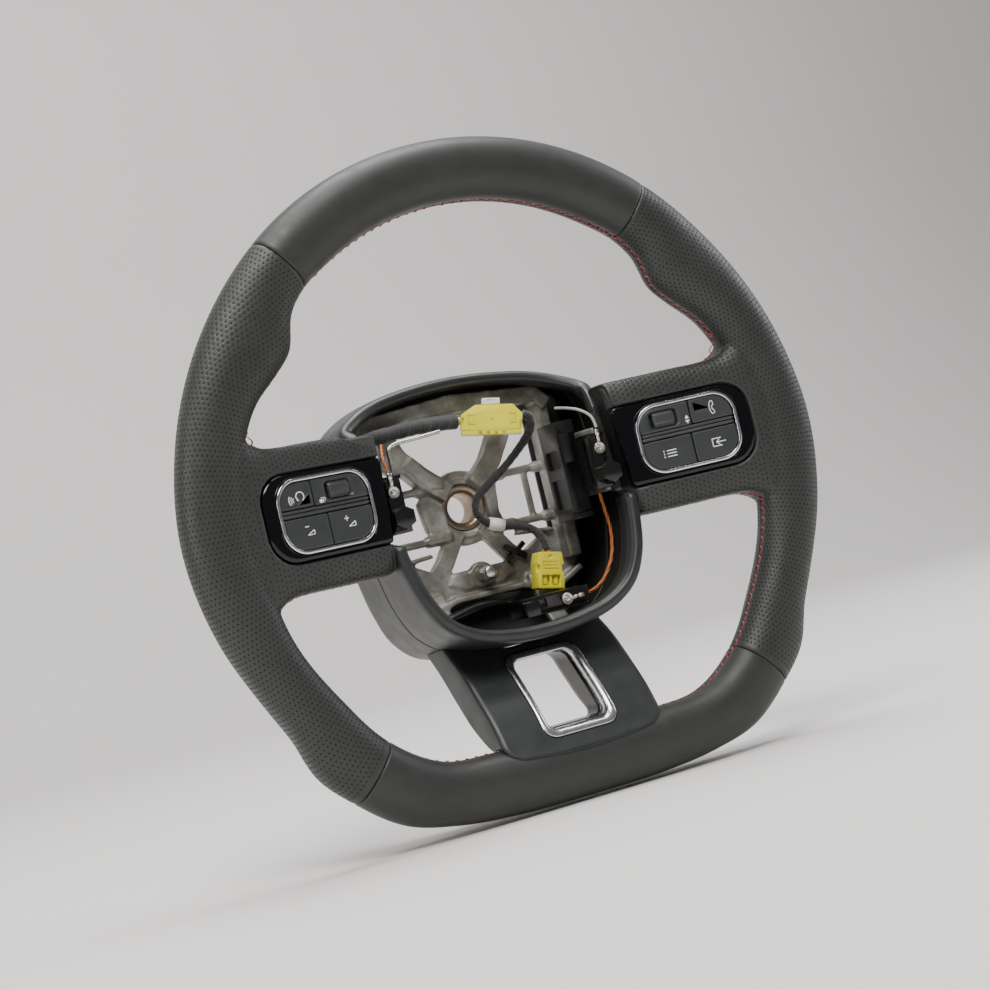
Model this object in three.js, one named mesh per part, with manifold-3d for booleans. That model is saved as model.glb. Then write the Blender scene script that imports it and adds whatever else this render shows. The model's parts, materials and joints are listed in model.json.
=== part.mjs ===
// A passenger-car steering wheel with its airbag module taken off.
// Millimetres, +Z up, +Y away from the driver along the steering column.
// The row's origin is on the column axis at the back face of the hub boss.
// Every piece is drawn in the rim's own frame, whose origin is the centre of the
// rim's arc in the rim's mid-plane, and one group moves them all into the row frame.
import * as THREE from 'three';
import { mergeVertices } from 'three/addons/utils/BufferGeometryUtils.js';
import Module from 'manifold-3d';

const wasm = await Module();
wasm.setup();

// ---------------------------------------------------------------- driving dimensions
const RIM_PLANE_Y = -95; // rim mid-plane, in front of the boss's back face
const RIM_CENTRE_Z = 6; // rim arc centre, above the column axis
const COLUMN_Z = -RIM_CENTRE_Z;

const GAP = 0.3; // air left between touching pieces
const LEATHER = 1.2; // hide thickness
const RIM_HALF_DEPTH = 15;
const RIM_ROUNDNESS = 2.3; // superellipse power of the rim's section
const RIM_SIDES = 10; // facets round the rim
const RIM_STEP = 8; // degrees between rim sections
const TOP_SEAM = 38; // degrees from the top, where the smooth top panel ends
const BOTTOM_SEAM = 138; // degrees from the top, where the smooth bottom panel starts
const SEAM_HALF = 0.05; // half the open seam, degrees
const OVERRUN = 4; // degrees that a cutter runs past the seams
// Radius of the rim's outer and inner edge against the angle from the top, degrees.
const RIM_OUTER = [[0, 181], [30, 180.6], [50, 179.3], [75, 179.6], [90, 180.8], [105, 179.6],
  [118, 178.4], [124, 179.8], [131, 186.4], [138, 186.8], [147, 186], [155, 179.5], [165, 171.8],
  [180, 166.7]];
const RIM_INNER = [[0, 147.5], [18, 147.2], [32, 146.6], [38, 146.6], [44, 144], [51, 135.8],
  [57, 137.5], [64, 143], [72, 146], [82, 146], [100, 145.5], [112, 148], [126, 149], [138, 152],
  [150, 150], [160, 141], [170, 135], [180, 133]];

const SPOKE_ROUNDNESS = 5;
// Spoke sections: distance from centre, bottom, top, front and back.
const SPOKE_STATIONS = [[54, -33, 41, 10, 37], [78, -33.5, 41, 4, 34], [105, -33.5, 41, -2, 25],
  [126, -33.5, 41, -7.5, 19.5], [134, -34.5, 42.5, -9.5, 18], [142, -39, 49, -11.5, 16],
  [152, -52, 62, -12.5, 13]];

// Hub outline, right half from the top: front lip, shoulders and rear edge.
const HUB_FRONT = [[0, 63], [25, 61.5], [48, 57], [61, 49.5], [66.5, 40], [68, 28], [70, 4],
  [72, -20], [69.6, -37], [64.8, -53], [56.2, -67], [41, -77], [20, -82], [0, -83.3]];
const HUB_SHOULDER = [[0, 64.5], [25, 63], [48, 59], [64, 52.5], [74.5, 44.5], [75.5, 30], [74, 4],
  [72.3, -20], [69.6, -37], [65.3, -53], [57.2, -68], [44, -78], [22, -83.5], [0, -84.5]];
const HUB_REAR = [[0, 65], [25, 63.5], [48, 59], [64, 52], [73, 44], [74, 30], [72.5, 4],
  [70.5, -20], [68.5, -36], [65, -52], [58.5, -69], [46, -81], [23, -85.5], [0, -86.5]];
const HUB_WALL = 2.5;
const HUB_LIP = 6.5;
const HUB_BACK_Y = 80;
const HUB_LIP_DEPTH = 16;
// Where the bezel meets the rear cover, seen from the side (y, z).
const HUB_SPLIT = [[43, -95], [43, -30], [46, 0], [52, 30], [64, 50], [74, 60], [76, 72]];
// Front edge of the hub seen from the side: it sweeps back towards the top (y, z).
const HUB_SWEEP = [[3, -95], [1.5, -66], [2.5, -50], [4.5, -36], [6.5, -20], [10, 0],
  [15, 15], [22, 28], [30, 38.5], [40, 49], [47, 56.5], [54, 66], [58, 72]];

const PAD_X = 105.25; // switch pad centre, each side
const PAD_Y = -3.3;
const PAD_Z = 4.5;
const PAD_TURN = THREE.MathUtils.degToRad(14.4); // pads face the driver
const PAD_DEPTH = 17; // front of the ring to the back of the switch housing
const KEY_FRONT = 0.4;
const KEY_BACK = 5;
const KEY_TRAVEL = 0.8;
const ROLLER_RADIUS = 6.5;
const ROLLER_WIDTH = 12.4;
const ROLLER_DEPTH = 5.4; // axis behind the ring's front
const ROLLER_Z = 10;
const AXLE_RADIUS = 1.2;
const ROLLER_X = { left: 9.5, right: -12 };
const UPPER_SPLIT_X = { left: -6.5, right: 3 };
const LOWER_SPLIT_X = { left: -0.3, right: 1.1 };

const BOSS_FRONT_Y = 75;
const BOSS_BACK_Y = 95;
const BOSS_FRONT_RADIUS = 20;
const BOSS_BACK_RADIUS = 17;
const INSERT_RADIUS = 12.6;
const SPLINE_ROOT_RADIUS = 8.9;
const SPLINE_TIP_RADIUS = 8.3;
const SPLINE_TEETH = 24;
const CORE_RADIUS = 5.5; // rim core of the casting
const RAIL_X = [51, 59];
const RAIL_Y = [62, 76];
const ROD_RADIUS = 2.4;
const ROD_ZS = [7.5, -20.5];

const LOWER_HALF_WIDTH = 46;
// Face of the lower spoke seen from the side (y, z).
const LOWER_FACE = [[44, -72], [34, -81], [22, -91], [8.6, -106], [-2.5, -120], [-11.5, -136],
  [-15.2, -142.5]];
const LOWER_BACK = [[70, -72], [50, -91], [37, -106], [24, -120], [10, -130], [-5, -138]];
const FRAME_HALF_WIDTH = 21.6;
const FRAME_Z = [-133, -88];
const FRAME_BAND = 4.3;

// ---------------------------------------------------------------- materials
function look(colour, roughness, metalness) {
  return new THREE.MeshStandardMaterial({ color: colour, roughness, metalness });
}

const LOOKS = {
  leather: look(0x3c3e3c, 0.6, 0),
  foam: look(0x2a2a28, 0.9, 0),
  satin: look(0x323a36, 0.45, 0),
  black: look(0x161616, 0.5, 0),
  gloss: look(0x0a0a0c, 0.08, 0),
  chrome: look(0xd0d0d4, 0.18, 1),
  key: look(0x46484a, 0.5, 0),
  casting: look(0xafa896, 0.5, 0.9),
  steel: look(0x9b9a94, 0.35, 1),
  yellow: look(0xe6dc32, 0.4, 0),
  white: look(0xe8e8e4, 0.5, 0),
  cloth: look(0x1a1a1a, 0.9, 0),
  orange: look(0xc86a1e, 0.5, 0),
};

// ---------------------------------------------------------------- solid helpers
function solidOf(geometry) {
  geometry.deleteAttribute('normal');
  geometry.deleteAttribute('uv');
  const merged = mergeVertices(geometry, 1e-4);
  const index = merged.getIndex().array;
  const triangles = [];
  for (let i = 0; i < index.length; i += 3) {
    const [a, b, c] = [index[i], index[i + 1], index[i + 2]];
    if (a !== b && b !== c && c !== a) triangles.push(a, b, c);
  }
  return new wasm.Manifold(new wasm.Mesh({
    numProp: 3,
    vertProperties: Float32Array.from(merged.getAttribute('position').array),
    triVerts: Uint32Array.from(triangles),
  }));
}

function geometryOf(solid) {
  const mesh = solid.getMesh();
  const geometry = new THREE.BufferGeometry();
  geometry.setAttribute('position', new THREE.BufferAttribute(Float32Array.from(mesh.vertProperties), 3));
  geometry.setIndex(new THREE.BufferAttribute(Uint32Array.from(mesh.triVerts), 1));
  return geometry;
}

function joined(...solids) {
  return solids.reduce((sum, solid) => sum.add(solid));
}

function less(solid, ...cutters) {
  return cutters.reduce((rest, cutter) => rest.subtract(cutter), solid);
}

function box(x, y, z) {
  const geometry = new THREE.BoxGeometry(x[1] - x[0], y[1] - y[0], z[1] - z[0]);
  geometry.translate((x[0] + x[1]) / 2, (y[0] + y[1]) / 2, (z[0] + z[1]) / 2);
  return solidOf(geometry);
}

function rod(from, to, radius, sides = 12, endRadius = radius) {
  const a = new THREE.Vector3(...from);
  const b = new THREE.Vector3(...to);
  const along = b.clone().sub(a);
  const geometry = new THREE.CylinderGeometry(endRadius, radius, along.length(), sides);
  const turn = new THREE.Quaternion().setFromUnitVectors(new THREE.Vector3(0, 1, 0), along.normalize());
  geometry.applyQuaternion(turn);
  geometry.translate((a.x + b.x) / 2, (a.y + b.y) / 2, (a.z + b.z) / 2);
  return solidOf(geometry);
}

function tube(points, radius, sides = 8, steps = 24) {
  const path = new THREE.CatmullRomCurve3(points.map((p) => new THREE.Vector3(...p)), false, 'centripetal');
  const circle = ringPoints(sides).map(([c, s]) => new THREE.Vector2(radius * c, radius * s));
  const section = new THREE.Shape(circle);
  return solidOf(new THREE.ExtrudeGeometry(section, { steps, bevelEnabled: false, extrudePath: path }));
}

function ringPoints(sides) {
  return Array.from({ length: sides }, (_, i) => {
    const angle = (2 * Math.PI * i) / sides;
    return [Math.cos(angle), Math.sin(angle)];
  });
}

// A closed outline in x and z, with a corner radius each, run from y[0] to y[1].
function prismY(outline, y) {
  const geometry = new THREE.ExtrudeGeometry(outline, {
    depth: y[1] - y[0], bevelEnabled: false, curveSegments: 4,
  });
  geometry.rotateX(Math.PI / 2);
  geometry.translate(0, y[1], 0);
  return solidOf(geometry);
}

// A closed outline in y and z, run from x[0] to x[1].
function prismX(points, x) {
  const shape = new THREE.Shape(points.map(([y, z]) => new THREE.Vector2(y, z)));
  const geometry = new THREE.ExtrudeGeometry(shape, { depth: x[1] - x[0], bevelEnabled: false });
  const turn = new THREE.Matrix4().makeBasis(
    new THREE.Vector3(0, 1, 0), new THREE.Vector3(0, 0, 1), new THREE.Vector3(1, 0, 0));
  geometry.applyMatrix4(turn);
  geometry.translate(x[0], 0, 0);
  return solidOf(geometry);
}

// A closed outline in x and y, run from z[0] to z[1].
function prismZ(points, z) {
  const shape = new THREE.Shape(points.map(([x, y]) => new THREE.Vector2(x, y)));
  const geometry = new THREE.ExtrudeGeometry(shape, { depth: z[1] - z[0], bevelEnabled: false });
  geometry.translate(0, 0, z[0]);
  return solidOf(geometry);
}

// Corners [x, z, radius] joined by straight lines and rounded.
function roundedOutline(corners) {
  const shape = new THREE.Shape();
  corners.forEach(([x, z, radius], i) => {
    const before = corners[(i + corners.length - 1) % corners.length];
    const after = corners[(i + 1) % corners.length];
    const corner = new THREE.Vector2(x, z);
    const start = new THREE.Vector2(before[0] - x, before[1] - z).setLength(radius).add(corner);
    const end = new THREE.Vector2(after[0] - x, after[1] - z).setLength(radius).add(corner);
    if (i === 0) shape.moveTo(start.x, start.y);
    else shape.lineTo(start.x, start.y);
    shape.quadraticCurveTo(x, z, end.x, end.y);
  });
  shape.closePath();
  return shape;
}

function roundedBox(halfWidth, z, radius) {
  return roundedOutline([[-halfWidth, z[0], radius], [halfWidth, z[0], radius],
    [halfWidth, z[1], radius], [-halfWidth, z[1], radius]]);
}

// Rings of points with the same count, skinned into one closed body.
function loft(rings, closed = false) {
  const count = rings[0].length;
  const points = rings.flat();
  const faces = [];
  const spans = closed ? rings.length : rings.length - 1;
  for (let i = 0; i < spans; i += 1) {
    const next = ((i + 1) % rings.length) * count;
    for (let j = 0; j < count; j += 1) {
      const k = (j + 1) % count;
      faces.push([i * count + j, i * count + k, next + k], [i * count + j, next + k, next + j]);
    }
  }
  if (!closed) {
    const last = (rings.length - 1) * count;
    for (const [first, flip] of [[0, true], [last, false]]) {
      const centre = new THREE.Vector3();
      for (let j = 0; j < count; j += 1) centre.addScaledVector(points[first + j], 1 / count);
      const tip = points.push(centre) - 1;
      for (let j = 0; j < count; j += 1) {
        const k = (j + 1) % count;
        faces.push(flip ? [tip, first + k, first + j] : [tip, first + j, first + k]);
      }
    }
  }
  const volume = faces.reduce((sum, [a, b, c]) => sum
    + points[a].dot(points[b].clone().cross(points[c])), 0);
  const outward = volume > 0 ? faces : faces.map(([a, b, c]) => [a, c, b]);
  const geometry = new THREE.BufferGeometry().setFromPoints(points);
  geometry.setIndex(outward.flat());
  return solidOf(geometry);
}

function superellipse(centre, across, halfWidth, deep, halfDepth, power, sides) {
  return ringPoints(sides).map(([c, s]) => {
    const u = Math.sign(c) * Math.abs(c) ** (2 / power) * halfWidth;
    const v = Math.sign(s) * Math.abs(s) ** (2 / power) * halfDepth;
    return centre.clone().addScaledVector(across, u).addScaledVector(deep, v);
  });
}

// ---------------------------------------------------------------- rim and spokes
function radiusAt(edge, degrees) {
  const angle = degrees > 180 ? 360 - degrees : Math.abs(degrees);
  const mirrored = [[-edge[1][0], edge[1][1]], ...edge, [360 - edge.at(-2)[0], edge.at(-2)[1]]];
  const times = mirrored.map((p) => p[0]);
  const values = mirrored.map((p) => p[1]);
  return new THREE.CubicInterpolant(times, values, 1).evaluate(angle)[0];
}

function rimFrame(degrees) {
  const angle = THREE.MathUtils.degToRad(degrees);
  const outward = new THREE.Vector3(Math.sin(angle), 0, Math.cos(angle));
  const outer = radiusAt(RIM_OUTER, degrees);
  const inner = radiusAt(RIM_INNER, degrees);
  return { outward, middle: (outer + inner) / 2, halfWidth: (outer - inner) / 2 };
}

const AWAY = new THREE.Vector3(0, 1, 0);

function rimSection(degrees, inset) {
  const { outward, middle, halfWidth } = rimFrame(degrees);
  const centre = outward.clone().multiplyScalar(middle);
  return superellipse(centre, outward, halfWidth - inset, AWAY, RIM_HALF_DEPTH - inset,
    RIM_ROUNDNESS, RIM_SIDES);
}

function rimAngles(from, to) {
  const steps = Math.ceil((to - from) / RIM_STEP);
  return Array.from({ length: steps + 1 }, (_, i) => from + ((to - from) * i) / steps);
}

// A stretch of rim; past runs it on beyond both seams, or stops it short when negative.
function rimSpan([from, to], inset, past) {
  const angles = rimAngles(from, to);
  const inner = angles.slice(1, -1);
  const run = past > 0 ? [from - past, ...angles, to + past] : [from - past, ...inner, to + past];
  return loft(run.map((degrees) => rimSection(degrees, inset)));
}

const TOP_SPAN = [-TOP_SEAM, TOP_SEAM];
const GRIP_SPAN = [TOP_SEAM, BOTTOM_SEAM];
const BOTTOM_SPAN = [BOTTOM_SEAM, 360 - BOTTOM_SEAM];
const LEFT_GRIP_SPAN = [-BOTTOM_SEAM, -TOP_SEAM];
const LOOP_ANGLES = [TOP_SPAN, GRIP_SPAN, BOTTOM_SPAN, LEFT_GRIP_SPAN]
  .flatMap(([from, to]) => rimAngles(from, to).slice(0, -1));

function rimLoop(inset) {
  return loft(LOOP_ANGLES.map((degrees) => rimSection(degrees, inset)), true);
}

function spokeBody(side, inset) {
  const rings = SPOKE_STATIONS.map(([x, bottom, top, front, back]) => superellipse(
    new THREE.Vector3(side * x, (front + back) / 2, (bottom + top) / 2),
    new THREE.Vector3(0, 0, 1), (top - bottom) / 2 - inset,
    AWAY, (back - front) / 2 - inset, SPOKE_ROUNDNESS, 12));
  return loft(rings);
}

// ---------------------------------------------------------------- hub outlines
function hubRing(half, y, inset, count = 28) {
  const right = half.map(([x, z]) => new THREE.Vector3(x, 0, z));
  const left = half.slice(1, -1).reverse().map(([x, z]) => new THREE.Vector3(-x, 0, z));
  const curve = new THREE.CatmullRomCurve3([...right, ...left], true, 'centripetal');
  return Array.from({ length: count }, (_, i) => {
    const point = curve.getPoint(i / count);
    const tangent = curve.getTangent(i / count);
    return new THREE.Vector3(point.x + tangent.z * inset, y, point.z - tangent.x * inset);
  });
}

function hubBody(inset) {
  return loft([hubRing(HUB_FRONT, -10, inset), hubRing(HUB_FRONT, 12, inset),
    hubRing(HUB_SHOULDER, 38, inset), hubRing(HUB_REAR, 90, inset)]);
}

// Everything between two distances behind the hub's swept front edge.
function sweepSlab(from, to) {
  const front = HUB_SWEEP.map(([y, z]) => [y + from, z]);
  const back = HUB_SWEEP.map(([y, z]) => [y + to, z]).reverse();
  return prismX([...front, ...back], [-100, 100]);
}

// Everything between a distance behind the swept front edge and the split line.
function aheadOfSplit(from) {
  const front = HUB_SWEEP.map(([y, z]) => [y + from, z]);
  return prismX([...front, ...[...HUB_SPLIT].reverse()], [-100, 100]);
}

function behindSplit(from, backY) {
  const front = HUB_SPLIT.map(([y, z]) => [y + from, z]);
  return prismX([...front, [backY, HUB_SPLIT.at(-1)[1]], [backY, HUB_SPLIT[0][1]]], [-100, 100]);
}

// ---------------------------------------------------------------- switch pads
function padFrame(side) {
  const turn = new THREE.Matrix4().makeRotationZ(-side * PAD_TURN);
  return turn.setPosition(side * PAD_X, PAD_Y, PAD_Z);
}

function inPad(side, solid) {
  return solidOf(geometryOf(solid).applyMatrix4(padFrame(side)));
}

// The bezel's outline: square at the hub, round at the rim.
function bezelOutline(side, grow) {
  const hubTop = -39.5 - grow;
  const hubBottom = -36.4 - grow;
  const rimEnd = 36.3 + grow;
  const [low, high] = [-22.5 - grow, 22 + grow];
  return roundedOutline([[side * hubBottom, low, 2], [side * rimEnd, low, 17],
    [side * rimEnd, high, 17], [side * hubTop, high, 2]]);
}

function padRoom(side, grow, depth) {
  return inPad(side, prismY(bezelOutline(side, grow), [-30, depth]));
}

const RING_OUTER = roundedBox(28.5, [-19, 19], 13);
const RING_INNER = roundedBox(26.7, [-17.2, 17.2], 11);
const KEY_FIELD = roundedBox(26.4, [-16.9, 16.9], 10.7);

function rollerAxle(x, radius, halfLength) {
  const [from, to] = [x - halfLength, x + halfLength];
  return rod([from, ROLLER_DEPTH, ROLLER_Z], [to, ROLLER_DEPTH, ROLLER_Z], radius, 16);
}

function makeRoller(x) {
  const ridges = new THREE.Shape(ringPoints(24).map(([c, s], i) => {
    const radius = i % 2 ? ROLLER_RADIUS : ROLLER_RADIUS - 0.6;
    return new THREE.Vector2(radius * c, radius * s);
  }));
  const geometry = new THREE.ExtrudeGeometry(ridges, { depth: ROLLER_WIDTH, bevelEnabled: false });
  geometry.rotateY(Math.PI / 2);
  geometry.translate(x - ROLLER_WIDTH / 2, ROLLER_DEPTH, ROLLER_Z);
  return joined(solidOf(geometry), rollerAxle(x, AXLE_RADIUS, ROLLER_WIDTH / 2 + 2));
}

function keyBlock(x, z) {
  return prismY(KEY_FIELD, [KEY_FRONT, KEY_BACK]).intersect(box(x, [-5, 10], z));
}

const FAR = 40;
const UPPER_ROW = [3.9, FAR];
const LOWER_ROW = [-FAR, -0.8];
const BAND_ROW = [-0.4, 3.6];
const SPLIT = 0.2; // half the gap between keys

// The fixed panel round the roller, with the ribbed band under the upper row.
function makeRollerPanel(side, name) {
  const split = UPPER_SPLIT_X[name];
  const x = ROLLER_X[name];
  const beside = side < 0 ? [split + SPLIT, FAR] : [-FAR, split - SPLIT];
  const ears = [-1, 1].map((s) => {
    const middle = x + s * (ROLLER_WIDTH / 2 + 1.5);
    return box([middle - 1, middle + 1], [3, 7.6], [ROLLER_Z - 2.6, ROLLER_Z + 2.6]);
  });
  const panel = joined(keyBlock(beside, [BAND_ROW[0], FAR]), keyBlock([-FAR, FAR], BAND_ROW), ...ears);
  return less(panel, rollerAxle(x, ROLLER_RADIUS + 0.4, ROLLER_WIDTH / 2 + 0.4),
    rollerAxle(x, AXLE_RADIUS + 0.06, ROLLER_WIDTH / 2 + 2.1));
}

function makeSwitchHousing(side, name) {
  const x = ROLLER_X[name];
  const body = prismY(bezelOutline(side, -5), [KEY_BACK + KEY_TRAVEL + 0.3, PAD_DEPTH]);
  const roomForRoller = box([x - 9.8, x + 9.8], [0, 13], [ROLLER_Z - 7.4, ROLLER_Z + 7.4]);
  return less(body, roomForRoller);
}

function makeSwitchBezel(side) {
  const plate = prismY(bezelOutline(side, 0), [0.9, 4.2]);
  const skirt = less(prismY(bezelOutline(side, 0), [4.1, 12]), prismY(bezelOutline(side, -2), [4, 13]));
  return less(joined(plate, skirt), prismY(roundedBox(28.8, [-19.3, 19.3], 13.2), [-5, 5]));
}

function makeSwitchRing() {
  return less(prismY(RING_OUTER, [0, 4]), prismY(RING_INNER, [-1, 5]));
}

// ---------------------------------------------------------------- casting
// A flat bar of the given half thickness along a line in the x-y plane.
function bar(line, half, z) {
  const points = line.map((p) => new THREE.Vector2(...p));
  const normals = points.map((_, i) => {
    const before = points[Math.max(i - 1, 0)];
    const after = points[Math.min(i + 1, points.length - 1)];
    return new THREE.Vector2(before.y - after.y, after.x - before.x).setLength(half);
  });
  const left = points.map((p, i) => p.clone().add(normals[i]).toArray());
  const right = points.map((p, i) => p.clone().sub(normals[i]).toArray()).reverse();
  return prismZ([...left, ...right], z);
}

function sideArm(side, grow) {
  const line = [[161, 1], [146, 7], [124, 14.7], [105, 19], [80, 25.5], [69, 34], [64, 50], [57, 67]]
    .map(([x, y]) => [side * x, y]);
  return bar(line, 2.2 + grow, [-16 - grow, 20 + grow]);
}

function lowerArm(side, grow) {
  const line = [[70, -50], [62, -68], [52, -79], [35, -95], [19.5, -112], [6.5, -128], [1.5, -141],
    [0, -149]];
  const thick = 2.4 + grow;
  const front = line.map(([y, z]) => [y - thick, z]);
  const back = line.map(([y, z]) => [y + thick, z]).reverse();
  const near = 26 - grow;
  const far = 37 + grow;
  return prismX([...front, ...back], side > 0 ? [near, far] : [-far, -near]);
}

function coreRing(grow) {
  const rings = LOOP_ANGLES.map((degrees) => {
    const { outward, middle } = rimFrame(degrees);
    const centre = outward.clone().multiplyScalar(middle);
    return superellipse(centre, outward, CORE_RADIUS + grow, AWAY, CORE_RADIUS + grow, 2, 6);
  });
  return loft(rings, true);
}

function limb(points, halfWidth, y) {
  const line = points.map(([x, z]) => new THREE.Vector2(x, z));
  const normals = line.map((_, i) => {
    const before = line[Math.max(i - 1, 0)];
    const after = line[Math.min(i + 1, line.length - 1)];
    return new THREE.Vector2(before.y - after.y, after.x - before.x).setLength(halfWidth);
  });
  const left = line.map((p, i) => p.clone().add(normals[i]));
  const right = line.map((p, i) => p.clone().sub(normals[i])).reverse();
  return prismY(new THREE.Shape([...left, ...right]), y);
}

// The parts of the casting that reach from the hub frame out to the rim.
function reachingArms(grow) {
  return joined(coreRing(grow), sideArm(-1, grow), sideArm(1, grow), lowerArm(-1, grow), lowerArm(1, grow));
}

const RAIL_Z = [-46, 46];
const COVER_SCREWS = [[-55, 34], [55, 34], [-55, -34], [55, -34]];
const STUD_Z = -44;

function makeArmature() {
  const boss = rod([0, BOSS_FRONT_Y, COLUMN_Z], [0, BOSS_BACK_Y, COLUMN_Z], BOSS_FRONT_RADIUS, 32,
    BOSS_BACK_RADIUS);
  const rails = [-1, 1].map((s) => box(
    RAIL_X.map((x) => s * x).sort((a, b) => a - b), RAIL_Y, RAIL_Z));
  const rods = [-1, 1].flatMap((s) => ROD_ZS.map(
    (z) => rod([s * 12, 73, z], [s * 54, 71, z], ROD_RADIUS, 10)));
  const topRail = limb([[-58, 40], [-52, 47], [0, 51], [52, 47], [58, 40]], 4.5, [60, 74]);
  const upperArms = [[[-9, 3], [-22, 14], [-34, 27], [-42, 46]], [[8, 4], [20, 16], [29, 30], [36, 48]]]
    .map((line) => limb(line, 5.5, [66, 76.6]));
  const lowerArms = [-1, 1].map((s) => limb([[s * 8, -18], [s * 19, -34], [s * 30, -46]], 5, [71, 76.6]));
  const plateOutline = roundedOutline([[-59, -30, 2], [-59, -54, 8], [-40, -63, 5], [-18, -57, 8],
    [18, -57, 8], [40, -63, 5], [59, -54, 8], [59, -30, 2], [46, -27, 4], [22, -40, 6], [-22, -40, 6],
    [-46, -27, 4]]);
  const plate = prismY(plateOutline, [71, 75]);
  const ribLine = [[-58, -52], [-40, -60.5], [-20, -55], [20, -55], [40, -60.5], [58, -52]];
  const lowerRib = limb(ribLine, 1.8, [64, 75]);
  const web = box([38.6, 40.8], [70, 76], [-19, 6]);
  const frame = joined(boss, ...rails, ...rods, topRail, ...upperArms, ...lowerArms, plate, lowerRib, web,
    reachingArms(0));
  const holes = COVER_SCREWS.map(([x, z]) => rod([x, 64, z], [x, 80, z], 2.2, 10));
  return less(frame, rod([0, 60, COLUMN_Z], [0, 100, COLUMN_Z], INSERT_RADIUS + GAP, 32),
    rod([0, 66, STUD_Z], [0, 80, STUD_Z], 3.3, 16), ...holes);
}

function makeSplineInsert() {
  const sleeve = rod([0, BOSS_FRONT_Y - 0.6, COLUMN_Z], [0, BOSS_BACK_Y, COLUMN_Z], INSERT_RADIUS, 32);
  const teeth = new THREE.Shape(ringPoints(SPLINE_TEETH * 2).map(([c, s], i) => {
    const radius = i % 2 ? SPLINE_ROOT_RADIUS : SPLINE_TIP_RADIUS;
    return new THREE.Vector2(radius * c, COLUMN_Z + radius * s);
  }));
  return less(sleeve, prismY(teeth, [BOSS_FRONT_Y - 5, BOSS_BACK_Y + 5]));
}

// ---------------------------------------------------------------- lower spoke
function lowerSlab(from, halfWidth) {
  const front = LOWER_FACE.map(([y, z]) => [y + from, z]);
  return prismX([...front, ...[...LOWER_BACK].reverse()], [-halfWidth, halfWidth]);
}

function lowerOutline(inset) {
  const half = LOWER_HALF_WIDTH - inset;
  const foot = -142.5 + inset;
  return roundedOutline([[-half, -60, 1], [-half, foot, 10], [half, foot, 10], [half, -60, 1]]);
}

function frameOutline(inset, radius) {
  return roundedBox(FRAME_HALF_WIDTH - inset, [FRAME_Z[0] + inset, FRAME_Z[1] - inset], radius);
}

function makeLowerSpokeCover() {
  const outside = lowerSlab(0, LOWER_HALF_WIDTH).intersect(prismY(lowerOutline(0), [-40, 90]));
  const inside = lowerSlab(2.5, 60).intersect(prismY(lowerOutline(2.5), [-40, 90]));
  const openBack = prismX([[0, -60], [90, -60], [90, -130], [20, -150]], [-43.5, 43.5]);
  return less(outside, inside, openBack.intersect(lowerSlab(2.5, 60)),
    prismY(frameOutline(-GAP, 7.3), [-40, 90]), rimLoop(-0.4), hubBody(-0.4));
}

function makeLowerSpokeBack() {
  const ahead = LOWER_FACE.map(([y, z]) => [y - 9, z]);
  const behind = LOWER_BACK.map(([y, z]) => [y - 2.4, z]).reverse();
  const wall = less(lowerSlab(2.8, LOWER_HALF_WIDTH - 2.8), prismX([...ahead, ...behind], [-80, 80]));
  const tunnel = prismY(frameOutline(0.6, 7), [-40, 90]).intersect(lowerSlab(7.5, 60));
  const back = joined(wall, tunnel).intersect(prismY(lowerOutline(2.9), [-40, 90]));
  return less(back, prismY(frameOutline(FRAME_BAND, 5), [-40, 90]),
    rimLoop(-0.4), hubBody(-0.4), lowerArm(-1, 0.4), lowerArm(1, 0.4));
}

function makeLowerTrimRing() {
  const band = less(prismY(frameOutline(0, 7), [-40, 90]), prismY(frameOutline(FRAME_BAND, 5), [-41, 91]));
  const slab = less(lowerSlab(-0.9, 60), lowerSlab(6.8, 70));
  return band.intersect(slab);
}

// ---------------------------------------------------------------- hub covers
function makeHubBezel(rooms) {
  const lip = less(hubBody(0), hubBody(HUB_LIP)).intersect(sweepSlab(0, HUB_LIP_DEPTH));
  const wall = less(hubBody(0), hubBody(HUB_WALL)).intersect(aheadOfSplit(HUB_LIP_DEPTH - 2));
  return less(joined(lip, wall), ...rooms);
}

function makeRearCover(rooms) {
  const wall = less(hubBody(0), hubBody(HUB_WALL)).intersect(behindSplit(GAP, HUB_BACK_Y));
  const opening = prismY(roundedBox(50, [-52, 44], 14), [60, 100]);
  const flange = less(hubBody(0.5), opening).intersect(box([-100, 100], [77.2, HUB_BACK_Y], [-100, 100]));
  const holes = COVER_SCREWS.map(([x, z]) => rod([x, 70, z], [x, 90, z], 2.2, 10));
  return less(joined(wall, flange), ...rooms, ...holes);
}

function makeCoverScrew([x, z]) {
  return joined(rod([x, HUB_BACK_Y + GAP, z], [x, HUB_BACK_Y + 3, z], 4, 8),
    rod([x, 66, z], [x, HUB_BACK_Y + 1, z], 1.9, 6));
}

// ---------------------------------------------------------------- pocket contents
const CONTACT_X = 61;
const CONTACT_Y = 18;

// A horn contact; grow leaves air round it in the bezel's lip.
function makeSideContact(side, grow = 0) {
  const x = [side * (55 - grow), side * (65.4 + grow)].sort((a, b) => a - b);
  const block = box(x, [CONTACT_Y - grow, 33 + grow], [-14 - grow, 16 + grow]);
  const [from, to] = [[side * CONTACT_X, 9 - grow, -6.5], [side * CONTACT_X, CONTACT_Y + 1, -6.5]];
  return joined(block, rod(from, to, 6.2 + grow, 6));
}

function contactRoom(side) {
  const x = [side * (CONTACT_X - 4), side * (CONTACT_X + 4)].sort((a, b) => a - b);
  const reach = rod([side * CONTACT_X, 2, -6.5], [side * CONTACT_X, CONTACT_Y, -6.5], 7.2, 16);
  return joined(makeSideContact(side, 0.4), reach, box(x, [CONTACT_Y - 2.5, CONTACT_Y + 1], [2, 18.5]));
}

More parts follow.
